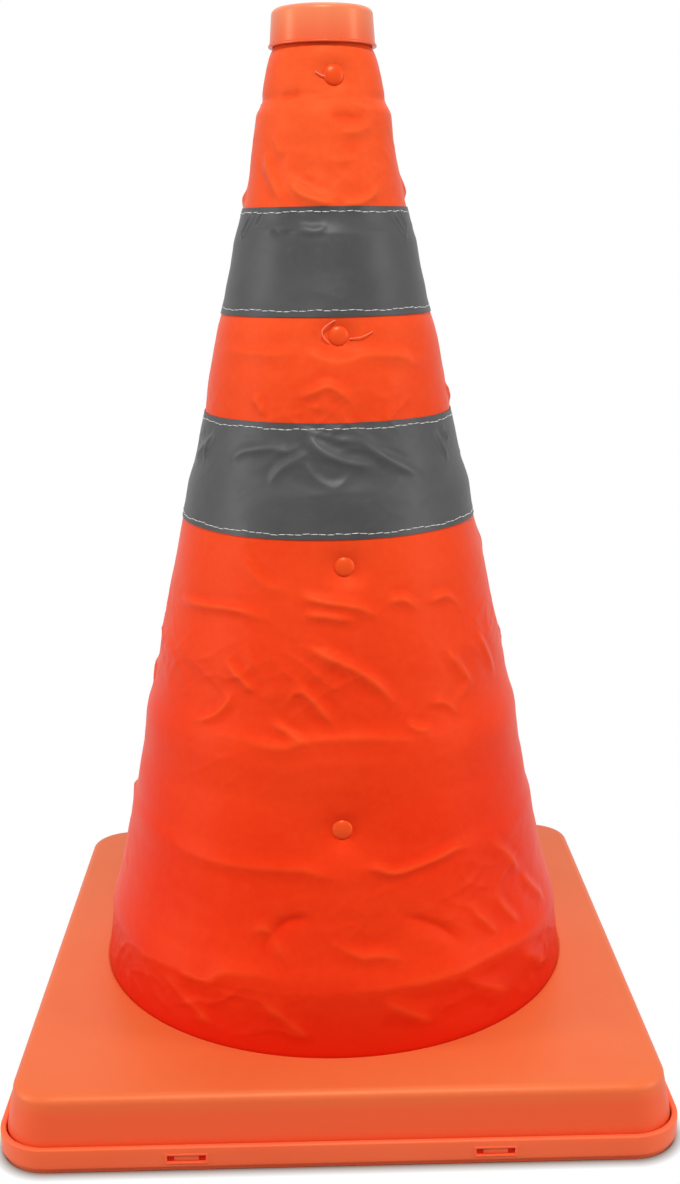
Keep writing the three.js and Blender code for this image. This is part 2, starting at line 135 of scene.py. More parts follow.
# Rivets
RIVET_HEAD = 4.35 * MM
RIVET_HEAD_HEIGHT = 2 * MM
RIVET_HEAD_EDGE = 0.2 * MM
RIVET_HEAD_RIM = 0.12 * MM
RIVET_DOME_STEPS = 14
RIVET_SHANK = 1.8 * MM
RIVET_END = 2.8 * MM
RIVET_END_HEIGHT = 0.7 * MM
RIVET_STEPS = 48
HEAD_CORNERS = 24

# Cloth
CLOTH = 0.45 * MM
TAPE = 0.4 * MM
TAPE_LIFT = 0.06 * MM
SLEEVE_COLUMNS = 540
ROW_PITCH = 0.85 * MM
SLEEVE_UNDER_CAP = 4 * MM
SLEEVE_OFF_FOOT = 1.9 * MM
SLEEVE_OFF_CLAMP = 1.6 * MM
OVER_A_WALL = 0.35 * MM
OVER_A_RIM = 0.1 * MM
RIM_REACH = 1.2 * MM
CALM_UNDER_CAP = 6 * MM
CALM_OVER_BASE = 9 * MM
YARN_PITCH = 0.62
FOLD_ALLOWANCE = 1.03
# A sheet's area held below this share of its flat size's length times depth, in a sum whose result nothing
# keeps
AREA_LIMIT = 0.999
SEAM_INSET = 2.2 * MM
STITCH_PITCH = 3.3 * MM
STITCH_LENGTH = 3.8 * MM
THREAD = 0.36 * MM
STITCH_RISE = 0.18 * THREAD
# How far the stitches stray up and down and how much they tilt, each as a wave along the seam
STITCH_WANDER = ((0.25 * MM, 0.7), (0.15 * MM, 2.3))
STITCH_TILT = (0.06, 1.9)


def corners(node):
    """The corners of a CAD node, as rows of x, y and z."""
    mesh = frame["nodes"][node].data
    places = np.empty(len(mesh.vertices) * 3)
    mesh.vertices.foreach_get("co", places)
    return places.reshape(-1, 3)


def rim_radius(tier):
    """The outer radius of a tier just under its rim."""
    places = corners(TIER_NODES[tier])
    near_top = places[places[:, 2] > places[:, 2].max() - 1 * MM]
    return float(np.hypot(near_top[:, 0], near_top[:, 1]).max())


RIM_HEIGHT = {tier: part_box(TIER_NODES[tier])[1].z for tier in range(1, COLLAR + 1)}
RIM_RADIUS = {tier: rim_radius(tier) for tier in range(1, COLLAR + 1)}
TIER_PITCH = RIM_HEIGHT[7] - RIM_HEIGHT[8]
TIER_STEP = RIM_RADIUS[8] - RIM_RADIUS[7]
RIM_TO_WALL = 4.15 * MM
TIER_SLOPE = (TIER_STEP - RIM_TO_WALL) / TIER_PITCH
TIER_TILT = math.atan(TIER_SLOPE)
COLLAR_TAPER_DEPTH = 12 * MM
TOP_LINE_RADIUS = RIM_RADIUS[2] - TIER_STEP * (RIM_HEIGHT[1] - RIM_HEIGHT[2]) / TIER_PITCH


def height_at(level):
    """The height of a level."""
    heights = [*RIM_HEIGHT.values(), RIM_HEIGHT[COLLAR] - TIER_PITCH]
    return np.interp(level, [*RIM_HEIGHT, COLLAR + 1], heights)


def level_at(height):
    """The level of a height, down to the collar's rim."""
    return np.interp(-height, [-rim for rim in RIM_HEIGHT.values()], list(RIM_HEIGHT))


def wall_radius(tier, height):
    """The outer radius of a tier's wall at a height."""
    if tier == 1:
        return RIM_RADIUS[2] - RIM_TO_WALL + TIER_SLOPE * (RIM_HEIGHT[2] - height)
    depth = RIM_HEIGHT[tier] - height
    return RIM_RADIUS[tier] + TIER_SLOPE * (min(depth, COLLAR_TAPER_DEPTH) if tier == COLLAR else depth)


OPENING_RADIUS = wall_radius(COLLAR, COVER_TOP) + OPENING_ROOM


def rivet_axis(node):
    """A point on a rivet's axis and the axis itself, which points outwards."""
    middle = Vector(corners(node).mean(axis=0))
    turn = math.atan2(middle.x, -middle.y)
    level = math.cos(TIER_TILT)
    return middle, Vector((math.sin(turn) * level, -math.cos(turn) * level, math.sin(TIER_TILT)))


class Wire:
    """The output of a shader node. Arithmetic on it adds Math nodes."""

    def __init__(self, finish, socket):
        self.finish = finish
        self.socket = socket

    def math(self, operation, *others, clamp=False):
        return self.finish.add(
            "ShaderNodeMath", {"operation": operation, "use_clamp": clamp}, dict(enumerate((self, *others)))
        )

    def __add__(self, other):
        return self.math("ADD", other)

    def __radd__(self, other):
        return self.math("ADD", other)

    def __sub__(self, other):
        return self.math("SUBTRACT", other)

    def __rsub__(self, other):
        return self.finish.add("ShaderNodeMath", {"operation": "SUBTRACT"}, {0: other, 1: self})

    def __mul__(self, other):
        return self.math("MULTIPLY", other)

    def __rmul__(self, other):
        return self.math("MULTIPLY", other)

    def clamped(self):
        return self.math("ADD", 0.0, clamp=True)

    def sine(self):
        return self.math("SINE")

    def spread(self, low, high, to_low=0.0, to_high=1.0):
        """The wire's range from low to high, stretched and clamped to another range."""
        return self.finish.add(
            "ShaderNodeMapRange",
            {"clamp": True},
            {"Value": self, "From Min": low, "From Max": high, "To Min": to_low, "To Max": to_high},
        )


class Finish:
    """A material, and the nodes that it is made of."""

    def __init__(self, name):
        self.material = bpy.data.materials.new(name)
        self.material.use_nodes = True
        self.tree = self.material.node_tree
        self.surface = next(n for n in self.tree.nodes if n.type == "BSDF_PRINCIPLED")
        self.output = next(n for n in self.tree.nodes if n.type == "OUTPUT_MATERIAL")

    def add(self, kind, settings=None, sockets=None, out=0):
        """Adds a node: its settings first, then the values or wires of its sockets."""
        node = self.tree.nodes.new(kind)
        for key, value in (settings or {}).items():
            setattr(node, key, value)
        for key, value in (sockets or {}).items():
            self.plug(node.inputs[key], value)
        return Wire(self, node.outputs[out])

    def plug(self, socket, value):
        if isinstance(value, Wire):
            self.tree.links.new(value.socket, socket)
        else:
            socket.default_value = value

    def set(self, **sockets):
        """Sets the surface's own sockets; an underscore in a name stands for a space."""
        for key, value in sockets.items():
            self.plug(self.surface.inputs[key.replace("_", " ")], value)

    def place(self):
        return self.add("ShaderNodeTexCoord", out="Object")

    def unwrapped(self):
        return self.add("ShaderNodeUVMap", {"uv_map": "Cut"})

    def attribute(self, name):
        """A number that the mesh keeps at each of its vertices."""
        kept = {"attribute_type": "GEOMETRY", "attribute_name": name}
        return self.add("ShaderNodeAttribute", kept, out="Fac")

    def parts_of(self, vector):
        split = self.add("ShaderNodeSeparateXYZ", sockets={0: vector}).socket.node
        return [Wire(self, output) for output in split.outputs]

    def noise(self, vector, size, detail=2.0, roughness=0.5):
        """Soft noise whose spots are about as wide as size."""
        sockets = {"Vector": vector, "Scale": 1 / size, "Detail": detail, "Roughness": roughness}
        return self.add("ShaderNodeTexNoise", {"noise_dimensions": "3D"}, sockets)

    def cells(self, vector, size):
        kind = {"voronoi_dimensions": "3D", "feature": "F1"}
        return self.add("ShaderNodeTexVoronoi", kind, {"Vector": vector, "Scale": 1 / size})

    def blend(self, share, first, second):
        """A colour between two colours."""
        mix = {"data_type": "RGBA", "blend_type": "MIX", "clamp_factor": True}
        return self.add("ShaderNodeMix", mix, {0: share, 6: first, 7: second}, out=2)

    def painted_crease_light(self, colour, painted_highlight_share, pale, painted_shade_share, deep):
        """A colour with painted highlights on the folds' crests and painted shade in their hollows."""
        crest = self.attribute("crest")
        colour = self.blend(crest.spread(0.1, 1.1) * painted_highlight_share, colour, pale)
        return self.blend(crest.spread(-0.05, -0.8) * painted_shade_share, colour, deep)

    def relief(self, height, depth, strength):
        """A normal from a height map whose range of 0 to 1 is as deep as depth."""
        normal = self.add("ShaderNodeBump", sockets={"Height": height, "Distance": depth, "Strength": strength})
        self.set(Normal=normal)


def tone(red, green, blue):
    """A colour written as it looks, with each channel from 0 to 255."""
    def linear(value):
        value = value / 255
        return value / 12.92 if value <= 0.04045 else ((value + 0.055) / 1.055) ** 2.4
    return (linear(red), linear(green), linear(blue), 1.0)


def moulded(name, colour, deep, gloss=0.42, depth=0.02 * MM, shine=0.42, foot=None):
    """Moulded plastic: a fine even grain, slow flow clouds in its colour, a few rubbed scuffs and pale specks.

    A foot is a low and a high place and the darker colour that the plastic is painted with at the low one, as
    painted shade.
    """
    finish = Finish(name)
    place = finish.place()
    clouds = finish.noise(place, 60 * MM, detail=3.0)
    fine = finish.noise(place, 0.35 * MM, roughness=0.6)
    scuffs = finish.noise(place, 9 * MM, detail=5.0, roughness=0.75).spread(0.60, 0.72)
    specks = finish.noise(place, 1.1 * MM, detail=1.0).spread(0.76, 0.80) * scuffs.spread(0.0, 0.5)
    shade = (clouds * 0.7 + fine * 0.3).spread(0.35, 0.68)
    body = finish.blend(shade, deep, colour)
    # Painted shade: below the foot's high place the colour darkens to the foot's tone
    if foot:
        low, high, painted_foot_shade = foot
        body = finish.blend(finish.parts_of(place)[2].spread(low, high), painted_foot_shade, body)
    finish.set(
        Base_Color=finish.blend(specks * 0.5, body, tone(250, 200, 180)),
        Roughness=gloss + 0.08 * fine + 0.10 * scuffs - 0.04,
        IOR=1.49, Specular_IOR_Level=shine, Specular_Tint=(1.0, 0.62, 0.36, 1.0),
    )
    finish.relief(fine, depth, 0.6)
    return finish.material


def woven_cloth():
    """Coated plain weave: fine threads both ways, a thin coating, a colour that turns paler upwards, painted
    shade where it goes into the base, and painted highlights on the folds' crests with painted shade in their
    hollows.
    """
    finish = Finish("coated_sleeve_cloth")
    cut = finish.unwrapped()
    across, along, _ = finish.parts_of(cut)
    yarn = 2 * math.pi / YARN_PITCH
    weave = ((across * yarn).sine() * (along * yarn).sine()) * 0.5 + 0.5
    place = finish.place()
    clouds = finish.noise(place, 70 * MM, detail=3.0)
    blotches = finish.noise(place, 5 * MM, detail=4.0, roughness=0.65)
    streaks = finish.noise(cut, 3.0, detail=3.0)
    shade = (clouds * 0.55 + blotches * 0.25 + streaks * 0.2).spread(0.33, 0.66)
    height = finish.parts_of(place)[2]
    paler_upwards = height.spread(0.12, 0.42)
    deep = finish.blend(paler_upwards, tone(234, 44, 14), tone(236, 77, 32))
    light = finish.blend(paler_upwards, tone(242, 60, 22), tone(242, 94, 47))
    body = finish.blend(shade, deep, light)
    # Painted shade: the cloth turns deep red low down, where it goes into the base's mouth
    painted_tuck_shade = height.spread(COVER_TOP - 2 * MM, RIM_HEIGHT[COLLAR] + 8 * MM)
    body = finish.blend(painted_tuck_shade, tone(212, 18, 2), body)
    # Painted highlights on the cloth's crests and painted shade in its hollows
    body = finish.painted_crease_light(body, 0.26, tone(255, 112, 52), 0.36, tone(222, 22, 2))
    finish.set(
        Base_Color=finish.blend(weave * 0.10, body, tone(252, 96, 52)),
        Roughness=0.36 + 0.10 * blotches - 0.04 * weave,
        Sheen_Weight=0.06, Sheen_Roughness=0.35, Sheen_Tint=tone(255, 120, 50),
        Specular_IOR_Level=0.10, Specular_Tint=(1.0, 0.48, 0.18, 1.0),
    )
    finish.relief(weave * 0.75 + blotches * 0.25, 0.035 * MM, 0.7)
    return finish.material


def reflective_tape():
    """Grey beaded tape: minute beads, a soft silver sheen, faint handling marks, and painted highlights on its
    folds' crests with painted shade in their hollows.
    """
    finish = Finish("beaded_reflective_tape")
    place = finish.place()
    beads = finish.cells(place, 0.22 * MM)
    clouds = finish.noise(place, 22 * MM, detail=4.0, roughness=0.6)
    marks = finish.noise(place, 3 * MM, detail=5.0, roughness=0.7).spread(0.55, 0.75)
    grey = finish.blend(clouds.spread(0.3, 0.7), tone(62, 62, 63), tone(72, 72, 73))
    # Painted highlights on the tape's crests and painted shade in its hollows
    grey = finish.painted_crease_light(grey, 0.4, tone(108, 108, 109), 0.4, tone(44, 44, 46))
    finish.set(
        Base_Color=finish.blend(marks * 0.25, grey, tone(90, 90, 91)),
        Roughness=0.42 + 0.14 * marks + 0.06 * beads, Specular_IOR_Level=0.3,
    )
    finish.relief(beads, 0.02 * MM, 0.5)
    return finish.material


def sewing_thread(name, colour, deep):
    """Twisted thread: light plies with painted shade in the grooves between them."""
    finish = Finish(name)
    place = finish.place()
    plies = finish.noise(place, 0.3 * MM).spread(0.4, 0.6)
    # Painted shade: the grooves between the plies take the darker colour
    finish.set(Base_Color=finish.blend(plies, deep, colour), Roughness=0.7 + 0.1 * plies)
    finish.relief(plies, 0.03 * MM, 0.6)
    return finish.material


MATERIALS = {
    "tray_plastic": moulded("tray_moulding", tone(255, 112, 70), tone(250, 104, 62)),
    "cover_plastic": moulded(
        "cover_moulding", tone(232, 112, 62), tone(228, 104, 55), gloss=0.46, shine=0.62,
        # Painted shade on the cover's skirt, which turns darker below the top
        foot=(22 * MM, 30 * MM, tone(238, 90, 50)),
    ),
    "tier_plastic": moulded("tier_moulding", tone(232, 106, 58), tone(220, 92, 46)),
    "cap_plastic": moulded(
        "cap_moulding", tone(240, 142, 98), tone(236, 128, 86), gloss=0.30,
        # Painted shade on the cap, which turns darker towards its bottom
        foot=(CAP_BOTTOM, CAP_TOP, tone(234, 94, 56)),
    ),
    "rivet_plastic": moulded(
        "rivet_moulding", tone(238, 82, 32), tone(232, 70, 22), gloss=0.30, depth=0.006 * MM, shine=0.32
    ),
    "sleeve_cloth": woven_cloth(),
    "band_tape": reflective_tape(),
}
# Painted shade: the faces sunk back in each snap window are a deep red copy of the orange plastic
RECESS_PAINTED_SHADE = moulded("recess_painted_shade_moulding", tone(232, 18, 0), tone(222, 12, 0))
# The second colour of each thread is the painted shade in its grooves
WHITE_THREAD = sewing_thread("white_seam_thread", tone(238, 238, 236), tone(190, 190, 188))
PALE_THREAD = sewing_thread("pale_loose_thread", tone(250, 150, 118), tone(230, 110, 78))


def put(name, data):
    """Adds an object to the scene."""
    made = bpy.data.objects.new(name, data)
    bpy.context.scene.collection.objects.link(made)
    return made


def piece_from(bm, name, material, smooth_angle=35):
    """Turns a bmesh into a piece, shaded smooth but for its sharp edges."""
    mesh = bpy.data.meshes.new(name)
    bm.to_mesh(mesh)
    bm.free()
    piece = put(name, mesh)
    mesh.materials.append(material)
    mesh.shade_smooth()
    mesh.set_sharp_from_angle(angle=math.radians(smooth_angle))
    return piece


def only(kind, items):
    """Those of an operator's results that are of one kind."""
    return [item for item in items if isinstance(item, kind)]


def soften(bm, edges, width, segments=2):
    """Rounds off edges."""
    bmesh.ops.bevel(
        bm, geom=edges, offset=width, offset_type="OFFSET", segments=segments, profile=0.5,
        affect="EDGES", clamp_overlap=True, material=-1,
    )


def drawn_up(bm, faces, rise, open_below=True):
    """Extrudes level faces upwards and gives back the moved ones; the old ones go where it is open below."""
    made = bmesh.ops.extrude_face_region(bm, geom=faces)["geom"]
    verts, moved = only(BMVert, made), only(BMFace, made)
    if open_below:
        bmesh.ops.delete(bm, geom=faces, context="FACES_ONLY")
    bmesh.ops.translate(bm, verts=verts, vec=(0, 0, rise))
    return moved


def turned_piece(name, profile, steps, slot, axis=None, seat=None):
    """A profile of (radius, height) points spun about its axis, then set on a seat along an axis."""
    bm = bmesh.new()
    points = [bm.verts.new((radius, 0, height)) for radius, height in profile]
    edges = [bm.edges.new(pair) for pair in zip(points, points[1:])]
    if profile[0][0] > 0:
        edges.append(bm.edges.new((points[-1], points[0])))
    bmesh.ops.spin(
        bm, geom=points + edges, axis=(0, 0, 1), cent=(0, 0, 0), angle=2 * math.pi, steps=steps, use_merge=True
    )
    bmesh.ops.remove_doubles(bm, verts=bm.verts, dist=SAME_PLACE)
    bmesh.ops.recalc_face_normals(bm, faces=bm.faces)
    if axis is not None:
        bm.transform(Matrix.Translation(seat) @ axis.to_track_quat("Z", "Y").to_matrix().to_4x4())
    return piece_from(bm, name, MATERIALS[slot])


def arc(centre_across, centre_up, radius, start, end, steps):
    """Points on an arc, as (across, up) pairs, with its angles in degrees."""
    return [
        (
            centre_across + radius * math.cos(math.radians(start + (end - start) * i / steps)),
            centre_up + radius * math.sin(math.radians(start + (end - start) * i / steps)),
        )
        for i in range(steps + 1)
    ]


def rounded_square(bm, half, corner, height):
    """The edges of a flat square outline with round corners."""
    side = half * math.sqrt(2)
    made = bmesh.ops.create_circle(bm, segments=4, radius=side)
    bmesh.ops.rotate(bm, verts=made["verts"], matrix=Matrix.Rotation(math.pi / 4, 3, "Z"))
    bmesh.ops.translate(bm, verts=made["verts"], vec=(0, 0, height))
    bevelled = bmesh.ops.bevel(
        bm, geom=made["verts"], offset=corner, offset_type="OFFSET", segments=CORNER_STEPS,
        profile=0.5, affect="VERTICES", material=-1,
    )
    return list({edge for vert in bevelled["verts"] for edge in vert.link_edges})


def carried_up(bm, edges, steps, start):
    """Extrudes an outline through steps of (half width or radius, height), from the start's half width."""
    last = start
    for reach, height in steps:
        made = bmesh.ops.extrude_edge_only(bm, edges=edges)["geom"]
        verts, edges = only(BMVert, made), only(BMEdge, made)
        ratio = reach / last
        bmesh.ops.scale(bm, verts=verts, vec=(ratio, ratio, 1))
        for vert in verts:
            vert.co.z = height
        last = reach
    return edges


def base_tray():
    """The tray: a floor on a set-in foot, an upstanding rim, and a snap window cut at each catch."""
    bm = bmesh.new()
    outline = rounded_square(bm, TRAY_HALF, TRAY_CORNER, FOOT_RISE)
    bmesh.ops.contextual_create(bm, geom=outline)
    floor = bm.faces[:]
    lid = drawn_up(bm, floor, TRAY_RIM_TOP - FOOT_RISE, open_below=False)
    bmesh.ops.inset_region(bm, faces=floor, thickness=FOOT_INSET, use_even_offset=True)
    drawn_up(bm, floor, -FOOT_RISE)
    bmesh.ops.inset_region(bm, faces=lid, thickness=TRAY_WALL, use_even_offset=True)
    drawn_up(bm, lid, TRAY_FLOOR - TRAY_RIM_TOP)
    bmesh.ops.recalc_face_normals(bm, faces=bm.faces)

    soften(bm, [edge for edge in bm.edges if edge_is_level(edge) and edge_turns(edge)], TRAY_EDGE, 4)
    cut_windows(bm)
    return piece_from(bm, "base_tray_shell", MATERIALS["tray_plastic"])


def edge_is_level(edge):
    low, high = sorted(vert.co.z for vert in edge.verts)
    return high - low < 0.01 * MM


def edge_turns(edge):
    """True for the rim's top and foot edges, where two faces meet at a right angle on the outside."""
    return len(edge.link_faces) == 2 and edge.calc_face_angle_signed(0) > 1


def window_places():
    """Each snap window's side, in quarter turns, and how far along that side it is."""
    return [(turn, offset) for turn in range(4) for offset in (-WINDOW_SPREAD, WINDOW_SPREAD)]


def cut_windows(bm):
    """Cuts the tray's walls at each window's edges, and joins the outer and inner openings."""
    planes = []
    for offset in (-WINDOW_SPREAD, WINDOW_SPREAD):
        for side in (-WINDOW_WIDTH / 2, WINDOW_WIDTH / 2):
            planes += [((offset + side, 0, 0), (1, 0, 0)), ((0, offset + side, 0), (0, 1, 0))]
    planes += [((0, 0, height), (0, 0, 1)) for height in (WINDOW_BOTTOM, WINDOW_TOP)]
    for point, direction in planes:
        whole = bm.verts[:] + bm.edges[:] + bm.faces[:]
        bmesh.ops.bisect_plane(bm, geom=whole, plane_co=point, plane_no=direction)

    for turn, offset in window_places():
        back = Matrix.Rotation(-turn * math.pi / 2, 3, "Z")
        through = []
        for face in bm.faces:
            middle = back @ face.calc_center_median()
            upright = abs(face.normal.z) < 0.5 and middle.x > TRAY_HALF - 2 * TRAY_WALL
            beside = abs(middle.y - offset) < WINDOW_WIDTH / 2
            if upright and beside and WINDOW_BOTTOM < middle.z < WINDOW_TOP:
                through.append(face)
        rims = {
            edge for face in through for edge in face.edges
            if sum(other in through for other in edge.link_faces) == 1
        }
        bmesh.ops.delete(bm, geom=through, context="FACES_ONLY")
        bmesh.ops.bridge_loops(bm, edges=list(rims))
    loose = [vert for vert in bm.verts if not vert.link_faces]
    bmesh.ops.delete(bm, geom=loose, context="VERTS")
    bmesh.ops.recalc_face_normals(bm, faces=bm.faces)


def base_cover():
    """The cover: a draughted skirt, a rounded top edge, a flat top and a rolled mouth over a clamp tube."""
    skirt_half = TRAY_HALF - TRAY_WALL - COVER_FIT_GAP
    top_half = TRAY_HALF - COVER_INSET
    bm = bmesh.new()
    foot = rounded_square(bm, skirt_half, COVER_CORNER, COVER_FOOT)
    bend = arc(top_half - COVER_EDGE, COVER_TOP - COVER_EDGE, COVER_EDGE, 4, 90, 10)
    lift = [
        (skirt_half + (bend[0][0] - skirt_half) * share, TRAY_RIM_TOP + (bend[0][1] - TRAY_RIM_TOP) * share)
        for share in (0.25, 0.5, 0.75)
    ]
    edge = carried_up(bm, foot, [(skirt_half, TRAY_RIM_TOP), *lift, *bend], skirt_half)

    mouth_reach = OPENING_RADIUS + OPENING_EDGE
    circle = bmesh.ops.create_circle(bm, segments=RING_STEPS, radius=mouth_reach)
    bmesh.ops.translate(bm, verts=circle["verts"], vec=(0, 0, COVER_TOP))
    ring = list({e for vert in circle["verts"] for e in vert.link_edges})
    bmesh.ops.triangle_fill(bm, use_beauty=True, edges=edge + ring, normal=(0, 0, 1))
    roll = arc(mouth_reach, COVER_TOP - OPENING_EDGE, OPENING_EDGE, 90, 180, 6)[1:]
    carried_up(bm, ring, [*roll, (OPENING_RADIUS - CLAMP_TAPER, CLAMP_FOOT)], mouth_reach)
    bmesh.ops.recalc_face_normals(bm, faces=bm.faces)
    cover = piece_from(bm, "base_cover_shell", MATERIALS["cover_plastic"], smooth_angle=40)
    wall = cover.modifiers.new("wall", "SOLIDIFY")
    wall.thickness = COVER_WALL
    wall.offset = -1
    return cover


def snap_catches():
    """The cover's catches: in each window a plate, and on it a tongue with a lead-in at its foot."""
    bm = bmesh.new()
    root = TRAY_HALF - TRAY_WALL - COVER_FIT_GAP - COVER_WALL / 2
    tongue = COVER_WALL / 2 + CATCH_REACH
    plate = TRAY_HALF - BOSS_DEPTH - root
    blocks = (
        (tongue, CATCH_WIDTH, WINDOW_HEIGHT - 2 * CATCH_EDGE_GAP, CATCH_LEAD_IN),
        (plate, WINDOW_WIDTH - PLATE_PLAY, WINDOW_HEIGHT - PLATE_PLAY, 0),
    )
    for turn, offset in window_places():
        for depth, wide, tall, lead_in in blocks:
            made = bmesh.ops.create_cube(bm, size=1)["verts"]
            bmesh.ops.scale(bm, verts=made, vec=(depth, wide, tall))
            for vert in made:
                if vert.co.x > 0 and vert.co.z < 0:
                    vert.co.x -= lead_in
            bmesh.ops.translate(bm, verts=made, vec=(root + depth / 2, offset, WINDOW_MIDDLE))
            bmesh.ops.rotate(bm, verts=made, matrix=Matrix.Rotation(turn * math.pi / 2, 3, "Z"))
    soften(bm, bm.edges[:], CATCH_EDGE)
    piece = piece_from(bm, "snap_catches", MATERIALS["tray_plastic"])
    piece.data.materials.append(RECESS_PAINTED_SHADE)
    # The faces sunk back in the windows take the painted shade
    for face in piece.data.polygons:
        reach = max(abs(face.center.x), abs(face.center.y))
        face.material_index = int(reach < TRAY_HALF - BOSS_DEPTH + 0.05 * MM)
    return piece


def window_edges():
    """The slightly raised edge round each snap window."""
    bm = bmesh.new()
    upright = Matrix(((0, 0, 1, 0), (1, 0, 0, 0), (0, 1, 0, 0), (0, 0, 0, 1)))
    outer = (WINDOW_WIDTH + 2 * WINDOW_LIP, WINDOW_HEIGHT + 2 * WINDOW_LIP, 1)
    for turn, offset in window_places():
        before = set(bm.verts)
        sheet = bmesh.ops.create_grid(bm, x_segments=1, y_segments=1, size=0.5)["verts"]
        bmesh.ops.scale(bm, verts=sheet, vec=outer)
        middle = sheet[0].link_faces[0]
        rim = bmesh.ops.inset_region(
            bm, faces=[middle], thickness=WINDOW_LIP, use_boundary=True, use_even_offset=True
        )["faces"]
        bmesh.ops.delete(bm, geom=[middle], context="FACES_ONLY")
        drawn_up(bm, rim, WINDOW_LIP_SUNK + WINDOW_LIP_RISE, open_below=False)
        made = [vert for vert in bm.verts if vert not in before]
        side = Matrix.Rotation(turn * math.pi / 2, 4, "Z")
        place = Matrix.Translation((TRAY_HALF - WINDOW_LIP_SUNK, offset, WINDOW_MIDDLE))
        bmesh.ops.transform(bm, verts=made, matrix=side @ place @ upright)
    bmesh.ops.recalc_face_normals(bm, faces=bm.faces)
    soften(bm, bm.edges[:], WINDOW_LIP_EDGE)
    return piece_from(bm, "window_edges", MATERIALS["tray_plastic"])


def top_cap():
    """The cap: a drawn-in skirt with a thin lip, a round shoulder, a crown and the spigot inside."""
    upper = CAP_RADIUS - CAP_TAPER
    shoulder = arc(upper - CAP_EDGE, CAP_TOP - CAP_CROWN - CAP_EDGE, CAP_EDGE, 90, 3, 12)
    lip_top = CAP_BOTTOM + CAP_LIP_HEIGHT
    ceiling = CAP_TOP - CAP_WALL
    spigot = wall_radius(1, RIM_HEIGHT[1]) - SPIGOT_INSET
    crown = [(0, CAP_TOP), ((upper - CAP_EDGE) / 2, CAP_TOP - CAP_CROWN / 3)]
    profile = [
        *crown,
        *shoulder,
        (CAP_RADIUS - CAP_LIP_REACH - 0.3 * MM, lip_top + 0.35 * MM),
        (CAP_RADIUS - CAP_LIP_REACH * 0.4, lip_top + 0.1 * MM),
        *arc(CAP_RADIUS - CAP_LIP_ROUND, lip_top - 0.3 * MM, CAP_LIP_ROUND, 70, -20, 4),
        *arc(CAP_RADIUS - CAP_FOOT_ROUND, CAP_BOTTOM + CAP_FOOT_ROUND, CAP_FOOT_ROUND, 0, -90, 4),
        (CAP_RADIUS - CAP_WALL, CAP_BOTTOM),
        (upper - CAP_WALL, ceiling),
        (spigot, ceiling),
        (spigot, ceiling - SPIGOT_DEPTH),
        (spigot - SPIGOT_WALL, ceiling - SPIGOT_DEPTH),
        (spigot - SPIGOT_WALL, ceiling),
        (0, ceiling),
    ]
    return turned_piece("top_cap_shell", profile, CAP_STEPS, "cap_plastic")


def rivet(side, tier):
    """A domed rivet: a low glossy head, its shank through the cloth and the wall, and its inner end."""
    node = f"rivet_{side}_{tier}"
    middle, axis = rivet_axis(node)
    along = (corners(node) - np.array(middle)) @ np.array(axis)
    top, bottom = float(along.max()), float(along.min())
    under = top - RIVET_HEAD_HEIGHT
    shoulder = under + RIVET_HEAD_EDGE
    profile = [
        *(
            (RIVET_HEAD * math.sin(angle), shoulder + (top - shoulder) * math.cos(angle))
            for angle in (math.pi / 2 * i / RIVET_DOME_STEPS for i in range(RIVET_DOME_STEPS))
        ),
        *arc(RIVET_HEAD - RIVET_HEAD_RIM, under + RIVET_HEAD_RIM, RIVET_HEAD_RIM, 0, -90, 3),
        (RIVET_SHANK, under),
        (RIVET_SHANK, bottom + RIVET_END_HEIGHT),
        (RIVET_END, bottom + RIVET_END_HEIGHT),
        (RIVET_END, bottom),
        (0, bottom),
    ]
    piece = turned_piece(f"{node}_domed", profile, RIVET_STEPS, "rivet_plastic", axis, middle)
    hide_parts(node)
    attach(piece, TIER_BODIES[tier])


# The cloth's outer radius beyond the rim at each level, in millimetres, where it stands off the line
# from rim to rim
SWELLS = [
    (1.20, -1.0), (1.36, -0.7), (1.41, 0.2), (1.47, 0.6), (1.58, 0.9), (1.75, 1.0), (1.86, 0.9), (1.94, 0.1),
    (2.00, 0.9), (2.05, 1.9), (2.12, 1.5), (2.30, 0.7), (2.50, 0.3), (2.75, 0.1), (2.93, 0.4), (3.00, 0.8),
    (3.08, 1.2), (3.18, 0.9), (3.30, 0.6), (3.45, 0.9), (3.55, 0.9), (3.64, 1.3), (3.77, 1.9), (3.97, 2.1),
    (4.20, 1.8), (4.40, 1.2), (4.52, 0.7), (4.70, 1.1), (4.94, 1.2), (5.02, 1.8), (5.12, 2.3), (5.30, 2.0),
    (5.70, 2.3), (6.10, 2.4), (6.45, 2.5), (6.67, 1.9), (6.85, 1.9), (6.97, 2.4), (7.10, 3.3), (7.20, 3.3),
    (7.35, 2.4), (7.50, 1.6), (7.70, 1.6), (7.90, 1.4), (8.02, 2.0), (8.20, 1.5), (8.45, 1.2), (8.62, 1.3),
    (8.80, 2.0), (8.90, 2.7), (9.00, 3.1), (9.15, 2.95), (9.35, 2.9), (9.47, 3.6), (9.53, 4.0), (9.56, 3.8),
    (9.60, 3.0), (9.66, 2.6), (9.80, 1.3), (10.0, 0.0),
]

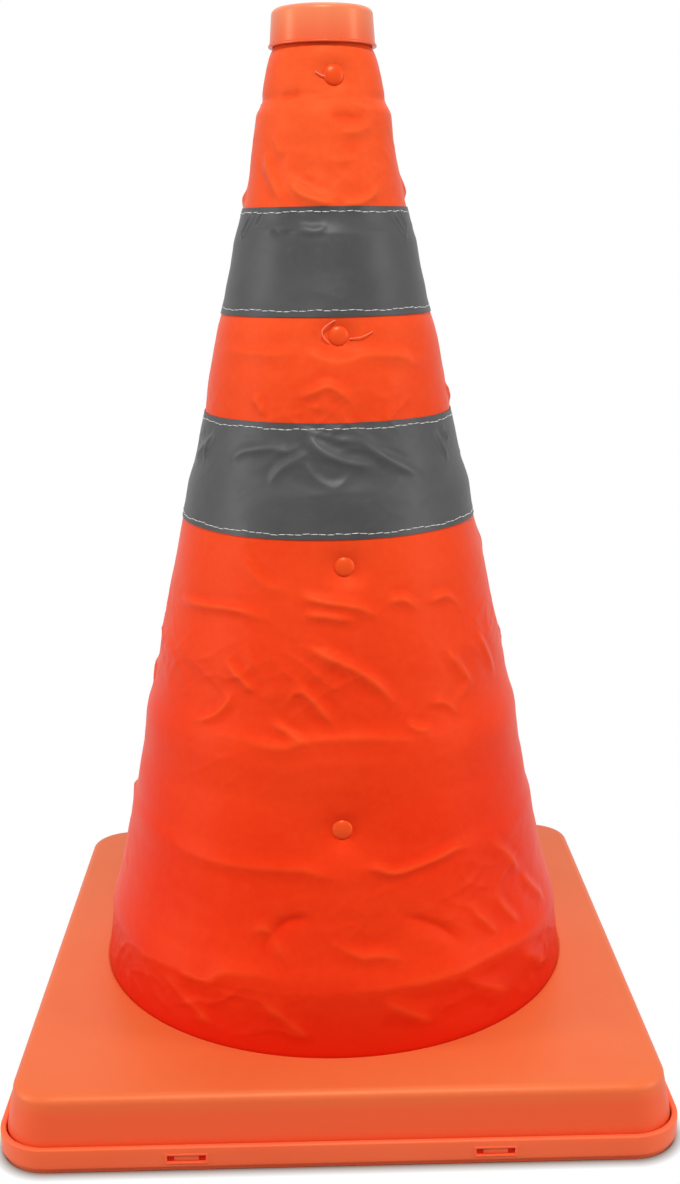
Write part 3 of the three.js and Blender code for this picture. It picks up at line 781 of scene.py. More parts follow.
# Folds that the photograph shows: their points as (turn, level), their height and half width in
# millimetres; a negative height is a groove
FOLDS = [
    ([(-60, 2.0), (-15, 1.98), (5, 2.0), (26, 2.0), (39, 2.04), (56, 2.02)], 0.91, 0.9),
    ([(3, 2.12), (18, 2.11), (36, 2.13)], -1.0, 1.9),
    ([(-31, 2.50), (-20, 2.68), (-4, 2.76), (11, 2.79)], 2.0, 1.55),
    ([(-52, 2.34), (-46, 2.50), (-38, 2.64), (-27, 2.80)], 1.69, 1.46),
    ([(8, 2.80), (22, 2.78), (34, 2.72), (42, 2.64)], 1.42, 1.34),
    ([(-37, 2.99), (-28, 3.01), (-16, 3.01)], -0.86, 0.81),
    ([(-76, 2.98), (-33, 2.99), (0, 3.01), (41, 3.01), (77, 2.98)], 0.37, 1.35),
    ([(-70, 3.96), (-40, 3.95), (-25, 3.96), (-13, 3.91)], 0.83, 1.7),
    ([(-18, 3.91), (-7, 3.97), (6, 4.01), (21, 3.97), (38, 3.99), (46, 4.05), (60, 3.99)], 1.37, 1.92),
    ([(-36, 4.28), (-33, 4.36), (-28, 4.47)], 1.08, 1.31),
    ([(-18, 4.32), (-8, 4.26), (0, 4.21), (6, 4.27), (13, 4.40)], 1.31, 1.38),
    ([(-13, 4.52), (-3, 4.71), (9, 4.81), (22, 4.83)], 1.44, 1.31),
    ([(10, 4.58), (21, 4.75), (31, 4.87), (43, 4.99)], 1.44, 1.31),
    ([(-46, 4.88), (-40, 4.75), (-25, 4.69), (-17, 4.71), (-8, 4.62)], 1.22, 1.22),
    ([(-25, 5.0), (-19, 4.84), (-5, 4.69)], 1.07, 1.16),
    ([(-19, 4.87), (-11, 4.81), (-6, 4.92), (1, 4.99), (6, 4.95), (11, 4.83)], 0.58, 1.16),
    ([(-78, 4.92), (-70, 4.78), (-58, 4.64)], 1.07, 1.46),
    ([(-63, 5.08), (-34, 5.06), (-13, 5.07), (4, 5.04), (27, 5.05), (55, 5.07)], 0.31, 1.7),
    ([(-66, 6.03), (-54, 6.03), (-33, 6.0), (-17, 6.08)], 1.22, 1.31),
    ([(-36, 5.52), (-25, 5.76), (-12, 5.83)], 0.84, 1.79),
    ([(-13, 5.82), (-6, 5.88), (6, 5.93), (9, 5.95), (19, 6.07)], 1.69, 1.38),
    ([(-11, 5.99), (-2, 6.01), (10, 6.06)], 1.22, 1.16),
    ([(17, 5.95), (22, 5.91), (26, 5.93), (31, 6.04)], 1.22, 1.31),
    ([(32, 5.98), (38, 5.95), (44, 5.96), (51, 6.13)], 1.07, 1.31),
    ([(-12, 6.23), (-6, 6.28), (3, 6.38), (11, 6.51), (16, 6.65), (22, 6.85)], 1.69, 1.71),
    ([(-16, 6.78), (-11, 6.61), (-6, 6.68), (-2, 6.81), (3, 6.97)], 1.44, 1.55),
    ([(-49, 7.0), (-37, 6.86), (-31, 6.64)], 1.22, 1.38),
    ([(-37, 6.41), (-29, 6.55), (-23, 6.66)], 1.07, 1.46),
    ([(-20, 6.84), (-13, 6.94), (-8, 7.02)], 1.38, 1.21),
    ([(28, 6.77), (36, 6.80), (42, 6.97)], 1.07, 1.31),
    ([(21, 6.88), (25, 6.96), (31, 6.98)], 1.22, 1.21),
    ([(-60, 7.05), (-32, 7.02), (-15, 7.05), (-6, 6.99), (10, 6.98), (28, 7.04), (56, 7.02)], 1.14, 1.92),
    ([(37, 6.30), (43, 6.52), (50, 6.75)], 1.07, 1.71),
    ([(54, 6.25), (60, 6.5), (66, 6.8)], 1.07, 1.62),
    ([(-56, 8.02), (-39, 8.05), (-24, 8.05), (-9, 8.03), (-2, 8.08), (9, 8.16)], 0.78, 1.7),
    ([(4, 8.05), (10, 8.03), (15, 8.08), (26, 8.03), (34, 7.99), (40, 8.06)], 1.44, 1.22),
    ([(14, 8.42), (25, 8.58), (33, 8.80)], -1.35, 1.79),
    ([(35, 8.50), (40, 8.68), (44, 8.85)], 1.22, 1.46),
    ([(44, 8.45), (48, 8.67), (53, 8.85)], 1.35, 1.46),
    ([(44, 8.0), (52, 8.22), (58, 8.48)], 1.22, 1.79),
    ([(56, 8.42), (63, 8.66), (70, 8.90)], 1.35, 1.62),
    ([(-6, 8.52), (5, 8.72), (11, 8.74), (20, 8.85)], 1.22, 1.71),
    ([(-19, 8.78), (-15, 8.54), (-10, 8.44), (-4, 8.47)], -1.22, 1.95),
    ([(-23, 8.62), (-18, 8.53), (-14, 8.68), (-10, 8.86)], 0.84, 1.62),
    ([(-66, 9.08), (-43, 9.02), (-32, 9.03), (-27, 8.92), (-17, 8.90), (-8, 9.05)], 1.27, 2.9),
    ([(-3, 9.0), (10, 8.98), (30, 8.96), (43, 8.93), (60, 8.96), (78, 8.98)], 1.42, 2.62),
    ([(-46, 9.10), (-36, 9.27), (-26, 9.46)], 1.32, 2.52),
    ([(-20, 9.06), (-12, 9.24), (-5, 9.44)], 1.32, 2.52),
    ([(8, 9.06), (16, 9.22), (25, 9.40)], 1.32, 2.52),
    ([(29, 9.03), (37, 9.18), (47, 9.38)], 1.49, 2.52),
    ([(48, 9.03), (56, 9.18), (65, 9.38)], 1.32, 2.85),

    ([(-56, 2.82), (-62, 2.93), (-66, 3.08)], 1.44, 0.7),
    ([(-47, 2.83), (-52, 2.97)], 1.08, 0.7),
    ([(50, 2.82), (56, 2.94), (61, 3.08)], 1.44, 0.7),
    ([(60, 2.82), (65, 3.0)], 1.2, 0.6),
    ([(-20, 2.95), (-8, 2.99), (2, 2.96)], 0.84, 0.9),
    ([(52, 4.58), (56, 4.72), (61, 4.90)], 1.3, 0.8),
    ([(60, 4.58), (64, 4.74)], 1.08, 0.7),
    ([(-58, 4.58), (-63, 4.72), (-66, 4.90)], 1.08, 0.8),
    ([(-44, 2.2), (-38, 2.34), (-30, 2.42)], 0.69, 1.35),
    ([(12, 2.24), (26, 2.22), (44, 2.17)], 0.91, 1.34),
    ([(-46, 1.90), (-30, 1.94), (-20, 1.88)], -0.91, 1.95),
]

# Where the same kinds of folds go round the sides and the back, which the photograph doesn't show:
# those that lie within so many degrees of the front, turned by each of these and every second one mirrored
HIDDEN_TURNS = (118, 176, 236)
REPEATED_WITHIN = 42

# A fold's section, in half widths: a crest on a short upper and a long lower slope, with a hollow beside it
CREST_WIDTH = 0.8
UPPER_SLOPE = 1.4
LOWER_SLOPE = 2.3
HOLLOW_PLACE = 3
HOLLOW_WIDTH = 1.6
FOLD_REACH = 7
# The crest's and the hollow's shares of a fold's height, and the power that shapes its slopes
CREST_SHARE = 0.2
HOLLOW_SHARE = 0.15
SLOPE_POWER = 1.5
# The share of a fold's length in which it rises from each end
FOLD_END = 0.34

# A dimple where a rivet holds the cloth against the tier: its shares of the whole depth, each with its
# half widths across and up in millimetres, the power that ends it above and below, and the share of the
# folds that it smooths away
DIMPLES = ((0.45, 16, 11), (0.55, 6.5, 6.0))
DIMPLE_POWER = 2.4
DIMPLE_CALM = 0.85

# The smooth average that rounds the cloth's plain profile: how many rows it reaches, and its width in rows
ROUNDING_REACH = 4
ROUNDING_WIDTH = 1.6

# The layers of the small wrinkles: how wide and tall their spots are in millimetres, and the layer's place
# in the noise
BROAD_WAVES = (34, 21, 3.1)
SLACK_SPOTS = (45, 30, 7.7)
DRAPES = (36, 13, 1.3)
CROSS_DRAPES = (33, 12, 5.9)
FINE_DRAPES = (17, 7, 8.2)
SMALL_DENTS = (7, 5, 9.4)
DRAPE_SHARPNESS = 2.6
FINE_SHARPNESS = 2.2
# How loose the cloth is in the base's mouth, where 1 is halfway between two tiers' rims
LOOSE_IN_BASE = 0.8
# The turn, in degrees, in which the wrinkles fade out towards the back, where the grid closes
CLOSING_TURN = 12


def curve_through(points, steps=6):
    """Points on a smooth curve through the given ones."""
    rows = [np.array(p, float) for p in points]
    rows = [2 * rows[0] - rows[1], *rows, 2 * rows[-1] - rows[-2]]
    made = []
    for before, start, end, after in zip(rows, rows[1:], rows[2:], rows[3:]):
        for i in range(steps):
            t = i / steps
            made.append(
                start + 0.5 * t * ((end - before) + t * (2 * before - 5 * start + 4 * end - after
                + t * (3 * (start - end) + after - before)))
            )
    made.append(rows[-2])
    return np.array(made)


def profile_radius(height):
    """The cloth's plain outer radius at a height, before its folds."""
    below = RIM_HEIGHT[COLLAR] - height
    levels = np.where(below > 0, COLLAR + below / TIER_PITCH, level_at(height))
    tiers = range(2, COLLAR + 1)
    line = [TOP_LINE_RADIUS, *(RIM_RADIUS[tier] for tier in tiers), OPENING_RADIUS - SLEEVE_OFF_CLAMP]
    swell = np.interp(levels, [s[0] for s in SWELLS], [s[1] for s in SWELLS])
    return np.interp(levels, [1, *tiers, COLLAR + 1], line) + swell * MM


def fold_relief(turn, height, radius):
    """How far the folds move the cloth outwards, over a grid of turns in degrees and heights."""
    relief = np.zeros_like(radius)
    for shift, mirror in [(0, 1), *((shift, (-1) ** i) for i, shift in enumerate(HIDDEN_TURNS))]:
        for points, rise, width in FOLDS:
            if shift and max(abs(p[0]) for p in points) > REPEATED_WITHIN:
                continue
            route = curve_through([(mirror * p[0] + shift, height_at(p[1])) for p in points])
            add_fold(relief, turn, height, radius, route, rise * MM, width * MM)
    return relief


def add_fold(relief, turn, height, radius, route, rise, width):
    """Adds one fold along a route of turns and heights to the relief."""
    reach = FOLD_REACH * width
    rows = np.where((height > route[:, 1].min() - reach) & (height < route[:, 1].max() + reach))[0]
    if not len(rows):
        return
    middle = route[:, 0].mean()
    away = (turn - middle + 180) % 360 - 180
    span = np.ptp(route[:, 0]) / 2 + math.degrees(reach / radius[rows].min())
    cols = np.where(np.abs(away) < span + 2)[0]
    part = np.ix_(rows, cols)
    round_radius = radius[part]
    x = np.radians(away[cols])[None, :] * round_radius
    y = np.repeat(height[rows][:, None], len(cols), axis=1)
    nearest = np.full(x.shape, 1e9)
    side = np.zeros(x.shape)
    share = np.zeros(x.shape)
    count = len(route) - 1
    for i in range(count):
        ax = np.radians(route[i, 0] - middle) * round_radius
        bx = np.radians(route[i + 1, 0] - middle) * round_radius
        dx, dy = bx - ax, route[i + 1, 1] - route[i, 1]
        t = np.clip(((x - ax) * dx + (y - route[i, 1]) * dy) / (dx * dx + dy * dy), 0, 1)
        ox, oy = x - ax - t * dx, y - route[i, 1] - t * dy
        far = np.hypot(ox, oy)
        closer = far < nearest
        nearest = np.where(closer, far, nearest)
        side = np.where(closer, oy / (far + 0.2 * MM), side)
        share = np.where(closer, (i + t) / count, share)
    taper = np.clip(np.minimum(share, 1 - share) / FOLD_END, 0, 1)
    taper = taper * taper * (3 - 2 * taper)
    crest = np.exp(-((nearest / (CREST_WIDTH * width)) ** 2))
    upper_slope = np.exp(-((nearest / (UPPER_SLOPE * width)) ** SLOPE_POWER))
    lower_slope = np.exp(-((nearest / (LOWER_SLOPE * width)) ** SLOPE_POWER))
    hollow = np.exp(-(((nearest - HOLLOW_PLACE * width) / (HOLLOW_WIDTH * width)) ** 2))
    above = 0.5 + 0.5 * side
    slopes = above * upper_slope + (1 - above) * lower_slope
    shape = CREST_SHARE * crest + (1 - CREST_SHARE) * slopes - HOLLOW_SHARE * hollow
    relief[part] += rise * taper * shape


def rivet_places():
    """Each rivet's turn in degrees, its height and its tier, from the outermost corners of its head."""
    places = []
    for tier in RIVETED_TIERS:
        for side in RIVET_SIDES:
            head = corners(f"rivet_{side}_{tier}")
            outer = head[np.argsort(-np.hypot(head[:, 0], head[:, 1]))[:HEAD_CORNERS]].mean(axis=0)
            places.append((math.degrees(math.atan2(outer[0], -outer[1])), float(outer[2]), tier))
    return places


RIVET_PLACES = rivet_places()


def wrinkle(across, up, spots):
    """Smooth noise from -1 to 1, in one layer of spots."""
    wide, tall, layer = spots
    return noise.noise(Vector((across / wide, up / tall, layer)))


def ridge(value, sharpness):
    """Turns the places where noise crosses 0 into ridges that are 1 high."""
    return max(0.0, 1 - sharpness * abs(value)) ** 2


def crumple(turn, height, radius):
    """Small soft wrinkles: broad waves, and slanting drapes between a riveted tier's rim and the next."""
    relief = np.zeros_like(radius)
    loose = 0.5 - 0.5 * np.cos(2 * np.pi * np.clip((level_at(height) - 2) % 2, 0, 1))
    loose = np.where(height < RIM_HEIGHT[COLLAR], LOOSE_IN_BASE, loose)
    closing = np.clip((180 - np.abs(turn)) / CLOSING_TURN, 0, 1)
    for row, z in enumerate(height / MM):
        around = np.radians(turn) * radius[row] / MM
        slack = 0.16 + 0.75 * loose[row]
        grain = 0.05 + 0.09 * loose[row]
        for col, u in enumerate(around):
            broad = wrinkle(u, z, BROAD_WAVES)
            share = max(0.0, wrinkle(u, z, SLACK_SPOTS) + 0.25)
            drape = wrinkle(u + 0.8 * z, z - 0.55 * u, DRAPES)
            other = wrinkle(u - 0.9 * z, z + 0.6 * u, CROSS_DRAPES)
            fine = wrinkle(u + 0.6 * z, z - 0.5 * u, FINE_DRAPES)
            small = wrinkle(u, z, SMALL_DENTS)
            crests = ridge(drape, DRAPE_SHARPNESS) + 0.8 * ridge(other, DRAPE_SHARPNESS)
            crests = crests + 0.3 * ridge(fine, FINE_SHARPNESS)
            relief[row, col] = closing[col] * (0.6 * broad + slack * share * crests + grain * small)
    return relief * MM


def bell(reach, width):
    """The weights of a smooth average that reaches so many steps to each side."""
    weights = np.exp(-((np.arange(-reach, reach + 1) / width) ** 2))
    return weights / weights.sum()


def cloth_surface():
    """The sleeve as a grid: turns in degrees, heights, the cloth's outer radius and its crests."""
    top = CAP_BOTTOM + SLEEVE_UNDER_CAP
    foot = COVER_FOOT + SLEEVE_OFF_FOOT
    height = np.linspace(top, foot, int((top - foot) / ROW_PITCH) + 1)
    turn = np.linspace(-180, 180, SLEEVE_COLUMNS + 1)[:-1]
    padded = np.pad(profile_radius(height), ROUNDING_REACH, mode="edge")
    plain = np.convolve(padded, bell(ROUNDING_REACH, ROUNDING_WIDTH), mode="valid")
    radius = np.repeat(plain[:, None], len(turn), axis=1)
    # The folds fade out towards the cap and the base, and flatten in the rivets' dimples
    free = np.clip((CAP_BOTTOM - height) / CALM_UNDER_CAP, 0, 1)
    free = free * np.clip((height - COVER_TOP) / CALM_OVER_BASE, 0, 1)
    relief = (fold_relief(turn, height, radius) + crumple(turn, height, radius)) * free[:, None]
    for rivet_turn, rivet_height, tier in RIVET_PLACES:
        across = np.radians((turn - rivet_turn + 180) % 360 - 180)[None, :] * radius
        up = (height - rivet_height)[:, None]
        held = wall_radius(tier, height)[:, None] + CLOTH + OVER_A_WALL
        depth = np.clip(radius - held, 0, None)
        pull = sum(
            share * np.exp(-((across / (wide * MM)) ** 2) - np.abs(up / (tall * MM)) ** DIMPLE_POWER)
            for share, wide, tall in DIMPLES
        )
        flat = np.clip(pull, 0, 1)
        radius = radius - depth * flat
        relief = relief * (1 - DIMPLE_CALM * flat)
    radius = radius + relief
    # The cloth lies over the rims of the tiers, never under them
    rims = np.interp(-height, [-rim for rim in RIM_HEIGHT.values()], list(RIM_RADIUS.values()))
    over = rims + CLOTH + OVER_A_RIM
    near_rim = np.min([np.abs(height - z) for z in list(RIM_HEIGHT.values())[1:]], axis=0) < RIM_REACH
    radius = np.where(near_rim[:, None], np.maximum(radius, over[:, None]), radius)
    return turn, height, radius, crest_of(relief)


def crest_of(relief):
    """How far each place stands over its surroundings, in millimetres: crests above 0, hollows below."""
    reach = 5
    around = relief
    for axis, edge in enumerate(("edge", "wrap")):
        padding = [(2 * reach, 2 * reach) if axis == k else (0, 0) for k in (0, 1)]
        wide = np.pad(around, padding, mode=edge)
        weights = bell(2 * reach, reach)
        around = np.apply_along_axis(lambda line: np.convolve(line, weights, mode="valid"), axis, wide)
    return (relief - around) / MM


TURN, HEIGHT, RADIUS, CREST = cloth_surface()


def radius_at(turn, height):
    """The cloth's outer radius at one place, from the grid."""
    row = np.clip(np.interp(-height, -HEIGHT, np.arange(len(HEIGHT))), 0, len(HEIGHT) - 1.001)
    col = (turn + 180) % 360 / 360 * len(TURN)
    r0, c0 = int(row), int(col) % len(TURN)
    c1 = (c0 + 1) % len(TURN)
    fr, fc = row - r0, col - int(col)
    upper = RADIUS[r0, c0] * (1 - fc) + RADIUS[r0, c1] * fc
    lower = RADIUS[r0 + 1, c0] * (1 - fc) + RADIUS[r0 + 1, c1] * fc
    return upper * (1 - fr) + lower * fr


def round_cone(radius, angle, height):
    """Places round the cone's axis, from radii, turns in radians and heights."""
    sides = np.broadcast_arrays(radius * np.sin(angle), -radius * np.cos(angle), height)
    return np.stack(sides, axis=-1)


def on_cloth(turn, height, lift):
    """A point on the cloth, lifted off it."""
    r = radius_at(turn, height) + lift
    angle = math.radians(turn)
    return Vector((r * math.sin(angle), -r * math.cos(angle), height))


def sheet_piece(name, rows, lift, thickness, slot):
    """A strip of cloth between two rows of the grid, lifted off the sleeve, as a thin closed wall."""
    first, last = rows
    count = len(TURN)
    bm = bmesh.new()
    bm.loops.layers.uv.new("Cut")
    bmesh.ops.create_grid(bm, x_segments=count, y_segments=last - first, size=0.5, calc_uvs=True)
    mesh = bpy.data.meshes.new(name)
    bm.to_mesh(mesh)
    bm.free()
    flat = np.empty(len(mesh.vertices) * 3)
    mesh.vertices.foreach_get("co", flat)
    flat = flat.reshape(-1, 3)
    col = np.rint((flat[:, 0] + 0.5) * count).astype(int)
    row = first + np.rint((0.5 - flat[:, 1]) * (last - first)).astype(int)
    angle = np.radians(-180 + col * 360 / count)
    places = round_cone(RADIUS[row, col % count] + lift, angle, HEIGHT[row])
    mesh.vertices.foreach_set("co", places.ravel())
    lay_flat(mesh, angle, HEIGHT[row])

    piece = put(name, mesh)
    bm = bmesh.new()
    bm.from_mesh(mesh)
    outward = bm.verts.layers.float_vector.new("outward")
    # The crests, from which the colours make painted highlights and painted shade
    crest = bm.verts.layers.float.new("crest")
    for vert, normal, standing in zip(bm.verts, GRID_NORMALS[row, col % count], CREST[row, col % count]):
        vert[outward] = normal
        vert[crest] = standing
    bmesh.ops.remove_doubles(bm, verts=bm.verts, dist=SAME_PLACE)
    bm.to_mesh(mesh)
    bm.free()
    wall = piece.modifiers.new("wall", "SOLIDIFY")
    wall.thickness = thickness
    wall.offset = -1
    finished = bpy.data.meshes.new_from_object(piece.evaluated_get(bpy.context.evaluated_depsgraph_get()))
    piece.modifiers.clear()
    piece.data = finished
    finished.name = name
    finished.materials.clear()
    finished.materials.append(MATERIALS[slot])
    finished.shade_smooth()
    keep_normals(finished)
    return piece


def lay_flat(mesh, angle, height):
    """Unrolls the cloth's cone into its flat cut, in millimetres, as the piece's own UV map."""
    lean = math.atan(TIER_STEP / TIER_PITCH)
    apex = RIM_HEIGHT[COLLAR] + RIM_RADIUS[COLLAR] * TIER_PITCH / TIER_STEP
    slant = (apex - height) / math.cos(lean) / MM
    fan = angle * math.sin(lean)
    flat = np.stack([slant * np.sin(fan), -slant * np.cos(fan)], axis=1)
    loops = np.empty(len(mesh.loops), dtype=np.int32)
    mesh.loops.foreach_get("vertex_index", loops)
    mesh.uv_layers["Cut"].uv.foreach_set("vector", flat[loops].astype(np.float32).ravel())


def grid_normals():
    """The sleeve's outward normals over the whole grid, so that strips shade as one cloth."""
    places = round_cone(RADIUS, np.radians(TURN)[None, :], HEIGHT[:, None])
    round_way = np.roll(places, -1, axis=1) - np.roll(places, 1, axis=1)
    up_way = np.empty_like(places)
    up_way[1:-1] = places[:-2] - places[2:]
    up_way[0] = places[0] - places[1]
    up_way[-1] = places[-2] - places[-1]
    normal = np.cross(round_way, up_way)
    return normal / np.linalg.norm(normal, axis=-1, keepdims=True)


def keep_normals(mesh):
    """Gives a finished strip the normals of the whole cloth, turned round on its inner side."""
    count = len(mesh.vertices)
    stored = np.empty(count * 3)
    mesh.attributes["outward"].data.foreach_get("vector", stored)
    own = np.empty(count * 3)
    mesh.vertices.foreach_get("normal", own)
    stored, own = stored.reshape(-1, 3), own.reshape(-1, 3)
    inner = (stored * own).sum(axis=1) < 0
    stored[inner] *= -1
    mesh.normals_split_custom_set_from_vertices([tuple(n) for n in stored])


GRID_NORMALS = grid_normals()

# How far under a rim the strips of cloth are cut, where the surface is smooth
CUT_BELOW_RIM = 6 * MM
# The cloth under a rivet would bend between here over the next rim, or this share of the way, and the rivet's
# head; these are worked out, but no bend is made
BEND_OVER_RIM = 4 * MM
BEND_SHARE = 0.2
HEAD_ROOM = 0.5 * MM


def row_of(height):
    """The grid's row nearest a height."""
    return int(np.argmin(np.abs(HEIGHT - height)))


def strip_rows(tier, top=None, bottom=None):
    """The rows of the strip that tier carries, cut to a band's top and bottom where those are given."""
    upper = HEIGHT[0] if tier == 1 else RIM_HEIGHT[tier] - CUT_BELOW_RIM
    lower = HEIGHT[-1] if tier == COLLAR else RIM_HEIGHT[tier + 1] - CUT_BELOW_RIM
    if top is not None:
        upper, lower = min(upper, top), max(lower, bottom)
    return (row_of(upper), row_of(lower)) if upper - lower > 2 * ROW_PITCH else None


def fold_with_tiers(piece, tier):
    """Attaches the collar's strip to the base and bakes every other strip's place into its mesh; the start and
    end of a bend down to the tier below are worked out but not used.
    """
    if tier == COLLAR:
        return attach(piece, "base")
    rim = RIM_HEIGHT[tier + 1]
    if tier in RIVETED_TIERS:
        lowest = min(height for _, height, riveted in RIVET_PLACES if riveted == tier)
        end = lowest - RIVET_HEAD - HEAD_ROOM
        start = min(rim + BEND_OVER_RIM, rim + (end - rim) * BEND_SHARE)
    else:
        start, end = rim, RIM_HEIGHT[tier] - CUT_BELOW_RIM
    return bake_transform(piece)


def declare_strip(rows):
    """Works out the strip's flat cut, its length round the cone by its slant height and its true area, and
    keeps none of them.
    """
    area = sheet_area(rows)
    length = 2 * math.pi * RADIUS[rows[1]].mean() * FOLD_ALLOWANCE
    slant = area / (2 * math.pi * RADIUS[rows[0]:rows[1] + 1].mean()) * FOLD_ALLOWANCE
    min(area, AREA_LIMIT * length * slant)


def sheet_area(rows):
    """The area of the cloth between two rows."""
    part = slice(rows[0], rows[1] + 1)
    places = round_cone(RADIUS[part], np.radians(TURN)[None, :], HEIGHT[part][:, None])
    round_way = np.roll(places, -1, axis=1) - places
    down_way = places[1:] - places[:-1]
    return float(np.linalg.norm(np.cross(round_way[:-1], down_way), axis=-1).sum())


def strip(name, tier, rows, lift, thickness, slot, node):
    """One strip of a sheet: its flat cut is worked out, it goes to the base if it is the collar's, and it
    stands for the sheet's node.
    """
    piece = sheet_piece(name, rows, lift, thickness, slot)
    declare_strip(rows)
    fold_with_tiers(piece, tier)
    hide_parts(node)


def sleeve():
    """The cloth sleeve, in one strip for each tier."""
    for tier in range(1, COLLAR + 1):
        name = "sleeve_cloth_foot" if tier == COLLAR else f"sleeve_cloth_{tier}"
        strip(name, tier, strip_rows(tier), 0, CLOTH, "sleeve_cloth", "fabric_sleeve")


def band(node, label):
    """A reflective band and its two seams, in a strip for each tier that it lies over."""
    low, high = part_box(node)[0].z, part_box(node)[1].z
    for tier in range(1, COLLAR + 1):
        rows = strip_rows(tier, high, low)
        if rows and rows[1] - rows[0] >= 2:
            strip(f"band_{label}_over_tier_{tier}", tier, rows, TAPE_LIFT + TAPE, TAPE, "band_tape", node)
    for edge, height in (("upper", high - SEAM_INSET), ("lower", low + SEAM_INSET)):
        seam(f"seam_{label}_{edge}", height)


def tier_at(height):
    """The tier whose strip of cloth a height lies on."""
    for tier in range(1, COLLAR):
        if height > RIM_HEIGHT[tier + 1] - CUT_BELOW_RIM:
            return tier
    return COLLAR


def seam(name, height):
    """A row of stitches right round the cone, each one a short thread that dips in at both ends."""
    bm = bmesh.new()
    tilt, tilt_pace = STITCH_TILT
    count = round(2 * math.pi * radius_at(0, height) / STITCH_PITCH)
    for i in range(count):
        turn = 360 * i / count
        wander = sum(size * math.sin(i * pace) for size, pace in STITCH_WANDER)
        made = bmesh.ops.create_uvsphere(bm, u_segments=6, v_segments=5, radius=0.5)["verts"]
        bmesh.ops.scale(bm, verts=made, vec=(STITCH_LENGTH, THREAD, THREAD))
        middle = on_cloth(turn, height + wander, TAPE_LIFT + TAPE + STITCH_RISE)
        tilted = Matrix.Rotation(tilt * math.sin(i * tilt_pace), 4, "Y")
        turned = Matrix.Rotation(math.radians(turn), 4, "Z") @ tilted
        bmesh.ops.transform(bm, verts=made, matrix=Matrix.Translation(middle) @ turned)
    piece = piece_from(bm, name, WHITE_THREAD, smooth_angle=80)
    fold_with_tiers(piece, tier_at(height))


# The thread ends that the photograph shows beside the two upper rivets: their tier, their thickness, and
# their points as a turn, a height over the rivet's and a lift off the cloth; lengths are in millimetres
LOOSE_THREADS = {
    "loose_thread_top": (1, 0.5, [(-8, 2.4, 0.2), (-5, 1.6, 0.9), (-1, 0.9, 1.0), (4, 0.5, 0.6)]),
    "loose_thread_curl": (
        3, 0.42, [(4, 7.2, 0.3), (1, 6.2, 1.2), (-3, 3.6, 1.6), (-2.5, 0.5, 1.4), (0.5, -1.6, 0.9)]
    ),
    "loose_thread_tail": (3, 0.35, [(11.5, -0.2, 0.8), (15, 0.1, 1.4), (19, 0.9, 1.3), (23, 2.4, 0.6)]),
}


def loose_thread(name, tier, thickness, route):
    """A loose end of thread on the cloth beside a tier's front rivet."""
    rivet_height = next(height for _, height, riveted in RIVET_PLACES if riveted == tier)
    curve = bpy.data.curves.new(name, "CURVE")
    curve.dimensions = "3D"
    curve.bevel_depth = thickness * MM / 2
    curve.bevel_resolution = 3
    curve.use_fill_caps = True
    spline = curve.splines.new("NURBS")
    spline.points.add(len(route) - 1)
    for target, (turn, up, lift) in zip(spline.points, route):
        target.co = (*on_cloth(turn, rivet_height + up * MM, lift * MM), 1)
    spline.use_endpoint_u = True
    spline.order_u = 3
    spline.resolution_u = 8
    drawn = put(name + "_route", curve)
    mesh = bpy.data.meshes.new_from_object(drawn.evaluated_get(bpy.context.evaluated_depsgraph_get()))
    bpy.data.objects.remove(drawn)
    piece = put(name, mesh)
    mesh.name = name
    mesh.materials.clear()
    mesh.materials.append(PALE_THREAD)
    mesh.shade_smooth()
    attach(piece, TIER_BODIES[tier])


def dress_frame():
    """Puts the moulded finish on the CAD nodes that stay."""
    slots = {s["node"]: s["material_slot"] for s in frame["record"]["subparts"]}
    for name, node in frame["nodes"].items():
        material = MATERIALS[slots[name]]
        if node.material_slots:
            for held in node.material_slots:
                held.material = material
        else:
            node.data.materials.append(material)


def dress_base():
    """The tray and the cover, and the fine parts of their snap windows."""
    for piece, node in ((base_tray(), "base_tray"), (base_cover(), "base_cover")):
        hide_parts(node)
        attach(piece, "base")
    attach(snap_catches(), "base")
    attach(window_edges(), "base")


def dress_tiers():
    """The cap on the top tier, and the rivets on theirs."""
    cap = top_cap()
    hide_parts("top_cap")
    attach(cap, TIER_BODIES[1])
    for tier in RIVETED_TIERS:
        for side in RIVET_SIDES:
            rivet(side, tier)


def lamp(name, place, aim, width, height, power):
    """A soft box that looks at a point."""
    light = bpy.data.lights.new(name, "AREA")
    light.shape = "RECTANGLE"
    light.size = width
    light.size_y = height
    light.energy = power
    turned = (Vector(aim) - Vector(place)).to_track_quat("-Z", "Y").to_matrix().to_4x4()
    put(name, light).matrix_world = Matrix.Translation(place) @ turned


def seen_rays(finish):
    """1 for the rays that show a surface as the background: camera, glossy and transmission rays."""
    path = finish.add("ShaderNodeLightPath").socket.node
    direct, glossy, through = (
        Wire(finish, path.outputs[f"Is {kind} Ray"]) for kind in ("Camera", "Glossy", "Transmission")
    )
    return (direct + glossy + through).clamped()


class Surround(Finish):
    """The world's nodes, handled like a material's."""

    def __init__(self, name):
        self.material = bpy.data.worlds.new(name)
        self.material.use_nodes = True
        self.tree = self.material.node_tree
        self.surface = next(n for n in self.tree.nodes if n.type == "BACKGROUND")
        self.output = next(n for n in self.tree.nodes if n.type == "OUTPUT_WORLD")


WORLD_LIGHT = 0.23
WHITE_LIGHT = {"Color": (1, 1, 1, 1), "Strength": 1.0}
FLOOR_SHADE = (0.42, 0.41, 0.40, 1)
FLOOR_HALF = 3
# The floor keeps its shadow and has a dark brown painted shadow from just under the tray's edge to this far
# outside it, and is white beyond
PAINTED_SHADOW_START = -1 * MM
PAINTED_SHADOW_END = 4 * MM

